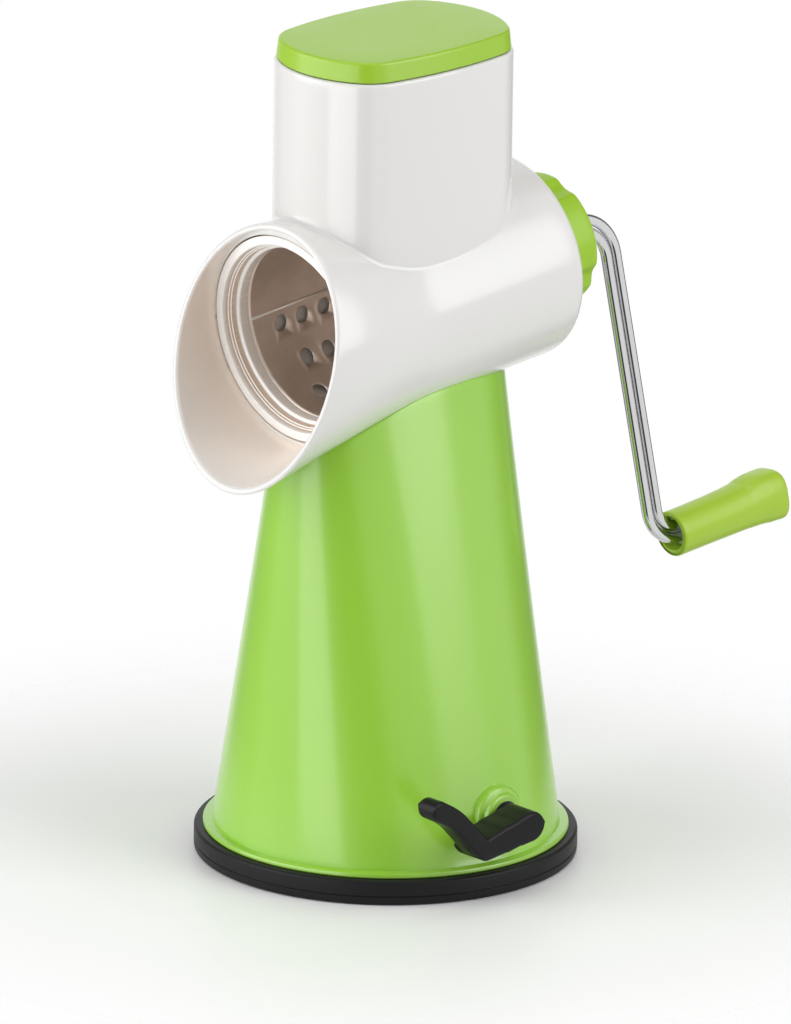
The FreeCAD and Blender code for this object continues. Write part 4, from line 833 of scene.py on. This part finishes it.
def sheet_point(turn, along, lift=0.0):
    """The number of a sleeve point, shared with its neighbours by place."""
    step = round((turn - TOOTH_TURN) / math.tau * TURN_STEPS) % TURN_STEPS
    key = (step, round(along, 3), round(lift, 3))
    if key not in known:
        known[key] = len(sheet_points)
        radius = SLEEVE_RADIUS - SLEEVE_SHEET / 2 + lift
        sheet_points.append(barrel_place(along, radius * math.sin(turn), radius * math.cos(turn)))
    return known[key]


def plain_patch(line, start, stop, steps):
    """Plain sheet over one line of teeth, between two places along the drum."""
    for low, high in zip(*(np.linspace(start, stop, steps + 1)[k:][:steps] for k in (0, 1))):
        turns_here = TOOTH_TURN + line_width * (line - 0.5 + np.linspace(0, 1, CELL_STEPS + 1))
        for left, right in zip(turns_here[:-1], turns_here[1:]):
            sheet_faces.append((sheet_point(left, low), sheet_point(right, low),
                                sheet_point(right, high), sheet_point(left, high)))


def tooth(line, middle):
    """One tooth: a round hole whose trailing side is pressed outwards into a scoop."""
    half_w, half_h = line_width * SLEEVE_RADIUS / 2, TOOTH_PITCH / 2
    run = np.linspace(-1, 1, CELL_STEPS + 1)[:-1]
    border = np.array([(half_w, half_h * t) for t in run] + [(-half_w * t, half_h) for t in run]
                      + [(-half_w, -half_h * t) for t in run] + [(half_w * t, -half_h) for t in run])
    turn = np.arctan2(border[:, 1], border[:, 0])
    trailing = (0.5 - 0.5 * np.cos(turn)) ** SCOOP_NARROW
    loops = []
    for k in range(CELL_LOOPS + 1):
        share = (k / CELL_LOOPS) ** LOOP_SPREAD
        x = TOOTH_HOLE * np.cos(turn) * (1 - share) + border[:, 0] * share
        y = TOOTH_HOLE * np.sin(turn) * (1 - share) + border[:, 1] * share
        lift = TOOTH_LIFT * trailing * max(1 - share / SCOOP_REACH, 0) ** SCOOP_FALL
        loops.append([sheet_point(TOOTH_TURN + line_width * line + px / SLEEVE_RADIUS, middle + py, up)
                      for px, py, up in zip(x, y, lift)])
    for inner, outer in zip(loops[:-1], loops[1:]):
        for j in range(len(border)):
            after = (j + 1) % len(border)
            sheet_faces.append((inner[j], outer[j], outer[after], inner[after]))


teeth_start = TOOTH_FIRST - TOOTH_PITCH / 2
teeth_stop = TOOTH_FIRST + (TOOTH_ROWS - 0.5) * TOOTH_PITCH
for line in range(TOOTH_LINES):
    plain_patch(line, SLEEVE_FRONT, teeth_start, 5)
    plain_patch(line, teeth_stop, SLEEVE_BACK, 4)
    if line in PLAIN_LINES:
        plain_patch(line, teeth_start, teeth_stop, CELL_STEPS * TOOTH_ROWS)
        continue
    for row in range(TOOTH_ROWS - line % 2):
        tooth(line, TOOTH_FIRST + TOOTH_PITCH * (row + 0.5 * (line % 2)))
    if line % 2:
        plain_patch(line, teeth_start, teeth_start + TOOTH_PITCH / 2, CELL_STEPS // 2)
        plain_patch(line, teeth_stop - TOOTH_PITCH / 2, teeth_stop, CELL_STEPS // 2)
seam_start = len(sheet_points)
for turn in np.linspace(*SEAM_TURNS, 4):
    radius = SLEEVE_RADIUS - SEAM_SUNK
    sheet_points += [barrel_place(along, radius * math.sin(turn), radius * math.cos(turn))
                     for along in (SLEEVE_FRONT + 0.5, SLEEVE_BACK - 0.5)]
sheet_faces += [(corner, corner + 2, corner + 3, corner + 1)
                for corner in range(seam_start, seam_start + 6, 2)]
# The sleeve's warm, pinkish steel colour is a painted warm reflection.
sleeve_steel = steel_material("sleeve_steel", (0.93, 0.83, 0.76), (0.77, 0.69, 0.61), 0.40, 500, 0.05)
sleeve = finish_mesh("drum_sleeve", sheet_points, sheet_faces, sleeve_steel, 50)
thick = sleeve.modifiers.new("sheet", "SOLIDIFY")
thick.thickness, thick.offset = SLEEVE_SHEET * MM, 0
put(sleeve, "drum", "sleeve_steel", "drum_sleeve")

# ---- Crank hub ----
# A green four-lobed hub turns with the crank behind the barrel. It is hollow towards the barrel, and its
# outer face is gently dished round the place where the wire comes out.

CRANK_LEAN = math.radians(7.6)
HUB_FRONT, HUB_BACK, HUB_RADIUS, HUB_RIM_WALL, HUB_EDGE = 58.0, 74.0, 22.8, 3.3, 1.6
NOTCH_RADIUS, NOTCH_DEPTH, HUB_LOBES, FIRST_NOTCH = 8.0, 1.3, 4, math.radians(59)
NOTCH_SOFTNESS = 0.45
HUB_DISH = [(2.6, 4.4), (0.6, 4.4), (0.2, 4.8), (0, 5.4), (0, 8.5), (0.3, 9.2), (1.1, 10.0), (1.2, 12.0),
            (1.0, 14.0), (0.5, 16.2), (0.1, 17.8)]  # depth below the outer face, radius
HUB_HOLLOW = [(71, 19.5), (71, 16.4), (58, 16.4), (58, 14.05), (60.85, 14.05), (60.85, 6.05),
              (71.4, 6.05)]  # distance along, radius
hub_turns = np.linspace(0, math.tau, 288, endpoint=False)


def crank_place(along, across, up):
    """As barrel_place, for pieces that lean with the crank's arm at rest."""
    lean, stand_up = math.sin(CRANK_LEAN), math.cos(CRANK_LEAN)
    return barrel_place(along, across * stand_up - up * lean, across * lean + up * stand_up)


def lobed(radius):
    """The hub's outline: a circle with four shallow rounded notches."""
    reach = HUB_RADIUS - NOTCH_DEPTH + NOTCH_RADIUS
    turn = (hub_turns - FIRST_NOTCH) % (math.tau / HUB_LOBES)
    turn = np.minimum(turn, math.tau / HUB_LOBES - turn)
    inside = np.maximum(NOTCH_RADIUS ** 2 - (reach * np.sin(turn)) ** 2, 0)
    notch = np.where(inside > 0, reach * np.cos(turn) - np.sqrt(inside), reach)
    blend = -NOTCH_SOFTNESS * np.log(np.exp(-notch / NOTCH_SOFTNESS) + np.exp(-HUB_RADIUS / NOTCH_SOFTNESS))
    return np.minimum(blend, HUB_RADIUS) - (HUB_RADIUS - radius)


def hub_ring(along, radius):
    """A ring about the crank's axis, round or lobed."""
    return crank_place(along + 0 * hub_turns, radius * np.cos(hub_turns), radius * np.sin(hub_turns))


hub_rings = [hub_ring(HUB_BACK - depth, radius) for depth, radius in HUB_DISH]
hub_rings.append(hub_ring(HUB_BACK, lobed(HUB_RADIUS - HUB_EDGE)))
for bend in np.linspace(0, math.pi / 2, 7)[1:]:
    hub_rings.append(hub_ring(HUB_BACK - HUB_EDGE * (1 - math.cos(bend)),
                              lobed(HUB_RADIUS - HUB_EDGE * (1 - math.sin(bend)))))
hub_rings += [hub_ring(along, lobed(HUB_RADIUS))
              for along in np.linspace(HUB_BACK - 3, HUB_FRONT + 0.6, 6)]
hub_rings += [hub_ring(HUB_FRONT + 0.15, lobed(HUB_RADIUS - 0.2)),
              hub_ring(HUB_FRONT, lobed(HUB_RADIUS - 0.6)),
              hub_ring(HUB_FRONT, HUB_RADIUS - HUB_RIM_WALL)]
hub_rings += [hub_ring(along, radius) for along, radius in HUB_HOLLOW]
hub_green = moulded_material("hub_moulding", (0.285, 0.500, 0.014), (0.305, 0.525, 0.020), GREEN_WORN,
                             0.30, cloud=30, bump=0.03, coat=0.1, specular=0.35)
put(finish_mesh("crank_hub", *skin(hub_rings), hub_green), "crank", "hub_plastic", "crank_hub")

# ---- Crank wire ----
# One length of bright chromed wire, folded double: two strands leave the shaft, bend down along the
# arm and bend back again into the grip, where the fold is.

WIRE_RADIUS, WIRE_SPACING, TOP_BEND, FOOT_BEND = 1.95, 4.2, 11.8, 8.0
WIRE_START, WIRE_FOLD = 60.5, 146.0
ARM_OFFSET, ARM_LENGTH = 98.0, 115.5
wire_route = [(WIRE_START, 0, 0), (ARM_OFFSET, 0, TOP_BEND + WIRE_SPACING / 2),
              (ARM_OFFSET, -ARM_LENGTH, FOOT_BEND + WIRE_SPACING / 2), (WIRE_FOLD, -ARM_LENGTH, 0)]


def bent(route, steps=14):
    """Points of a route (along, up, bend radius) with its corners bent round."""
    line = []
    for index, (along, up, radius) in enumerate(route):
        here = Vector((along, up))
        if not radius:
            line.append(here)
            continue
        before = (Vector(route[index - 1][:2]) - here).normalized()
        after = (Vector(route[index + 1][:2]) - here).normalized()
        half = before.angle(after) / 2
        centre = here + (before + after).normalized() * radius / math.sin(half)
        first = here + before * radius / math.tan(half) - centre
        last = here + after * radius / math.tan(half) - centre
        line += [centre + first.slerp(last, step / steps) * radius for step in range(steps + 1)]
    return line


def strand(side):
    """One strand beside the route's middle line, on its outer or inner side."""
    line = bent(wire_route)
    moved = []
    for index, spot in enumerate(line):
        ahead = line[min(index + 1, len(line) - 1)] - line[max(index - 1, 0)]
        moved.append(spot + Vector((-ahead.y, ahead.x)).normalized() * side * WIRE_SPACING / 2)
    return moved


upper, lower = strand(1), strand(-1)
fold_middle = Vector((WIRE_FOLD, -ARM_LENGTH))
fold = [fold_middle + Vector((math.cos(bend), math.sin(bend))) * WIRE_SPACING / 2
        for bend in np.linspace(math.pi / 2, -math.pi / 2, 11)[1:-1]]
wire_line = upper + fold + lower[::-1]
wire_rings = []
bends = np.linspace(0, math.tau, 28, endpoint=False)
for index, spot in enumerate(wire_line):
    ahead = (wire_line[min(index + 1, len(wire_line) - 1)] - wire_line[max(index - 1, 0)]).normalized()
    wire_rings.append(crank_place(spot.x - ahead.y * WIRE_RADIUS * np.sin(bends),
                                  WIRE_RADIUS * np.cos(bends),
                                  spot.y + ahead.x * WIRE_RADIUS * np.sin(bends)))
chrome = bpy.data.materials.new("bright_chrome")
tree, out = shader_tree(chrome)
spot = node(tree, "ShaderNodeTexCoord").outputs["Object"]
haze = node(tree, "ShaderNodeTexNoise", {"Vector": spot, "Scale": 130.0, "Detail": 4.0})
drawn = node(tree, "ShaderNodeTexNoise", {"Vector": spot, "Scale": 900.0, "Detail": 2.0})
chrome_rough = node(tree, "ShaderNodeMapRange", {"Value": haze.outputs[0], "From Min": 0.35,
                    "From Max": 0.75, "To Min": 0.05, "To Max": 0.13})
chrome_tone = node(tree, "ShaderNodeMix", {0: haze.outputs[0], "A": (0.72, 0.72, 0.73, 1),
                   "B": (0.64, 0.64, 0.65, 1)}, data_type="RGBA")
chrome_skin = node(tree, "ShaderNodeBump", {"Height": drawn.outputs[0], "Strength": 0.02,
                   "Distance": 0.0002})
chrome_steel = node(tree, "ShaderNodeBsdfPrincipled", {"Base Color": chrome_tone.outputs["Result"],
                    "Metallic": 1.0, "Roughness": chrome_rough.outputs[0],
                    "Normal": chrome_skin.outputs[0]})
tree.links.new(chrome_steel.outputs[0], out.inputs["Surface"])
put(finish_mesh("crank_wire", *skin(wire_rings, closed=False, caps=True), chrome, 50), "crank",
    "bright_wire", "crank_wire")

# ---- Grip ----
# The green grip turns on the wire. It is round and open where the wire goes in, and swells into a
# blunt end that is taller than it is wide, with a soft shoulder on its upper side.

GRIP_FRONT, GRIP_END = 104.5, 153.5
GRIP_SHAPE = np.array([  # distance along, half width, reach up, reach down, squareness
    (104.5, 7.8, 7.5, 8.4, 2.0), (112, 7.8, 7.45, 8.4, 2.0), (122, 7.8, 7.5, 8.4, 2.05),
    (131, 7.9, 7.7, 8.4, 2.15), (136, 8.0, 8.0, 8.4, 2.25), (140, 8.1, 8.8, 8.5, 2.4),
    (143, 8.2, 9.2, 8.6, 2.5), (147, 8.4, 9.1, 9.0, 2.7), (153.5, 8.5, 8.8, 9.3, 2.9)])
GRIP_MOUTH, GRIP_CORE, GRIP_CORE_END = 5.95, 5.3, 150.5
GRIP_FRONT_EDGE, GRIP_END_EDGE = 0.9, 2.6
grip_turns = np.linspace(0, math.tau, 96, endpoint=False)


def grip_ring(along, inset=0.0):
    """A ring of the grip's outside, moved inwards."""
    half, above, below, square = (float(smooth_through(GRIP_SHAPE, column, np.array(along)))
                                  for column in (1, 2, 3, 4))
    cos, sin = np.cos(grip_turns), np.sin(grip_turns)
    x = (half - inset) * np.sign(cos) * np.abs(cos) ** (2 / square)
    tall = np.where(sin > 0, above, below) - inset
    up = tall * np.sign(sin) * np.abs(sin) ** (2 / square)
    return crank_place(along + 0 * grip_turns, x, up - ARM_LENGTH)


def grip_hole(along, radius):
    """A ring of the grip's bore."""
    return crank_place(along + 0 * grip_turns, radius * np.cos(grip_turns),
                       radius * np.sin(grip_turns) - ARM_LENGTH)


grip_rings = [grip_hole(along, radius) for along, radius in (
    (GRIP_CORE_END, GRIP_CORE), (112, GRIP_CORE), (109, GRIP_MOUTH), (GRIP_FRONT + 0.5, GRIP_MOUTH),
    (GRIP_FRONT + 0.15, GRIP_MOUTH + 0.15), (GRIP_FRONT, GRIP_MOUTH + 0.4))]
grip_rings.append(grip_ring(GRIP_FRONT + GRIP_FRONT_EDGE))
for bend in np.linspace(0, math.pi / 2, 5)[1:]:
    grip_rings.append(grip_ring(GRIP_FRONT + GRIP_FRONT_EDGE * (1 - math.cos(bend)),
                                GRIP_FRONT_EDGE * (1 - math.sin(bend))))
grip_rings += [grip_ring(along) for along in np.linspace(GRIP_FRONT + 2, GRIP_END - GRIP_END_EDGE, 46)]
for bend in np.linspace(0, math.pi / 2, 8)[1:]:
    grip_rings.append(grip_ring(GRIP_END - GRIP_END_EDGE * (1 - math.sin(bend)),
                                GRIP_END_EDGE * (1 - math.cos(bend))))
grip_rings.append(grip_ring(GRIP_END, 5.0))
grip_green = moulded_material("grip_moulding", (0.340, 0.520, 0.028), (0.365, 0.545, 0.036), GREEN_WORN,
                              0.30, cloud=30, bump=0.04, coat=0.1, specular=0.4)
put(finish_mesh("crank_grip", *skin(grip_rings, closed=False, caps=True), grip_green, 40), "grip_body",
    "grip_plastic", "grip")

# ---- Pusher ----
# A hollow white plunger slides in the chute. A thick green lid is pressed into it and rests on the
# chute's rim; its sides lean in a little and its top is very slightly domed.

PUSHER_BOTTOM, PUSHER_TOP, PUSHER_GAP = 231.5, 281.1, 0.6
PUSHER_WALL, PUSHER_FLOOR, PUSHER_EDGE = 2.0, 2.5, 1.4
CAP_PLUG = 4
CAP_INSET, CAP_DRAFT, CAP_HEIGHT, CAP_EDGE, CAP_CROWN = 0.8, 0.6, 7.4, 1.2, 0.4
plunger_inset = CHUTE_WALL + PUSHER_GAP
plunger_rings = [chute_ring(plunger_inset + 9, PUSHER_BOTTOM)]
for bend in np.linspace(0, math.pi / 2, 6):
    plunger_rings.append(chute_ring(plunger_inset + PUSHER_EDGE * (1 - math.sin(bend)),
                                    PUSHER_BOTTOM + PUSHER_EDGE * (1 - math.cos(bend))))
plunger_rings += [chute_ring(plunger_inset, height) for height in np.linspace(236, PUSHER_TOP, 14)]
plunger_rings.append(chute_ring(plunger_inset + PUSHER_WALL, PUSHER_TOP))
plunger_rings += [chute_ring(plunger_inset + inset, PUSHER_BOTTOM + PUSHER_FLOOR)
                  for inset in (PUSHER_WALL, 12)]
plunger_white = moulded_material("plunger_moulding", (0.74, 0.74, 0.71), (0.78, 0.78, 0.75), WHITE_WORN,
                                 0.24, cloud=20, bump=0.03)
put(finish_mesh("pusher_plunger", *skin(plunger_rings, closed=False, caps=True), plunger_white),
    "pusher", "pusher_plastic", "pusher_body")

lid_top = PUSHER_TOP + CAP_HEIGHT
lid_rings = [chute_ring(inset, height) for inset, height in (
    (plunger_inset + 10, PUSHER_TOP - CAP_PLUG), (plunger_inset + 2.1, PUSHER_TOP - CAP_PLUG),
    (plunger_inset + 2.1, PUSHER_TOP), (CAP_INSET + 0.3, PUSHER_TOP), (CAP_INSET, PUSHER_TOP + 0.3))]
lid_shoulder = lid_top - CAP_CROWN
for share in np.linspace(0, 1, 8)[1:-1]:
    lid_rings.append(chute_ring(CAP_INSET + CAP_DRAFT * share,
                                PUSHER_TOP + 0.3 + (lid_shoulder - CAP_EDGE - PUSHER_TOP - 0.3) * share))
for bend in np.linspace(0, math.pi / 2, 9):
    lid_rings.append(chute_ring(CAP_INSET + CAP_DRAFT + CAP_EDGE * (1 - math.cos(bend)),
                                lid_shoulder - CAP_EDGE * (1 - math.sin(bend))))
for share in np.linspace(0, 1, 9)[1:]:
    inset = CAP_INSET + CAP_DRAFT + CAP_EDGE + 12 * share
    lid_rings.append(chute_ring(inset, lid_shoulder + CAP_CROWN * math.sin(share * math.pi / 2)))
lid_green = moulded_material("lid_moulding", (0.290, 0.500, 0.020), (0.310, 0.525, 0.028), GREEN_WORN,
                             0.30, cloud=16, bump=0.03, coat=0.1)
put(finish_mesh("pusher_lid", *skin(lid_rings, closed=False, caps=True), lid_green), "pusher",
    "cap_plastic", "pusher_cap")
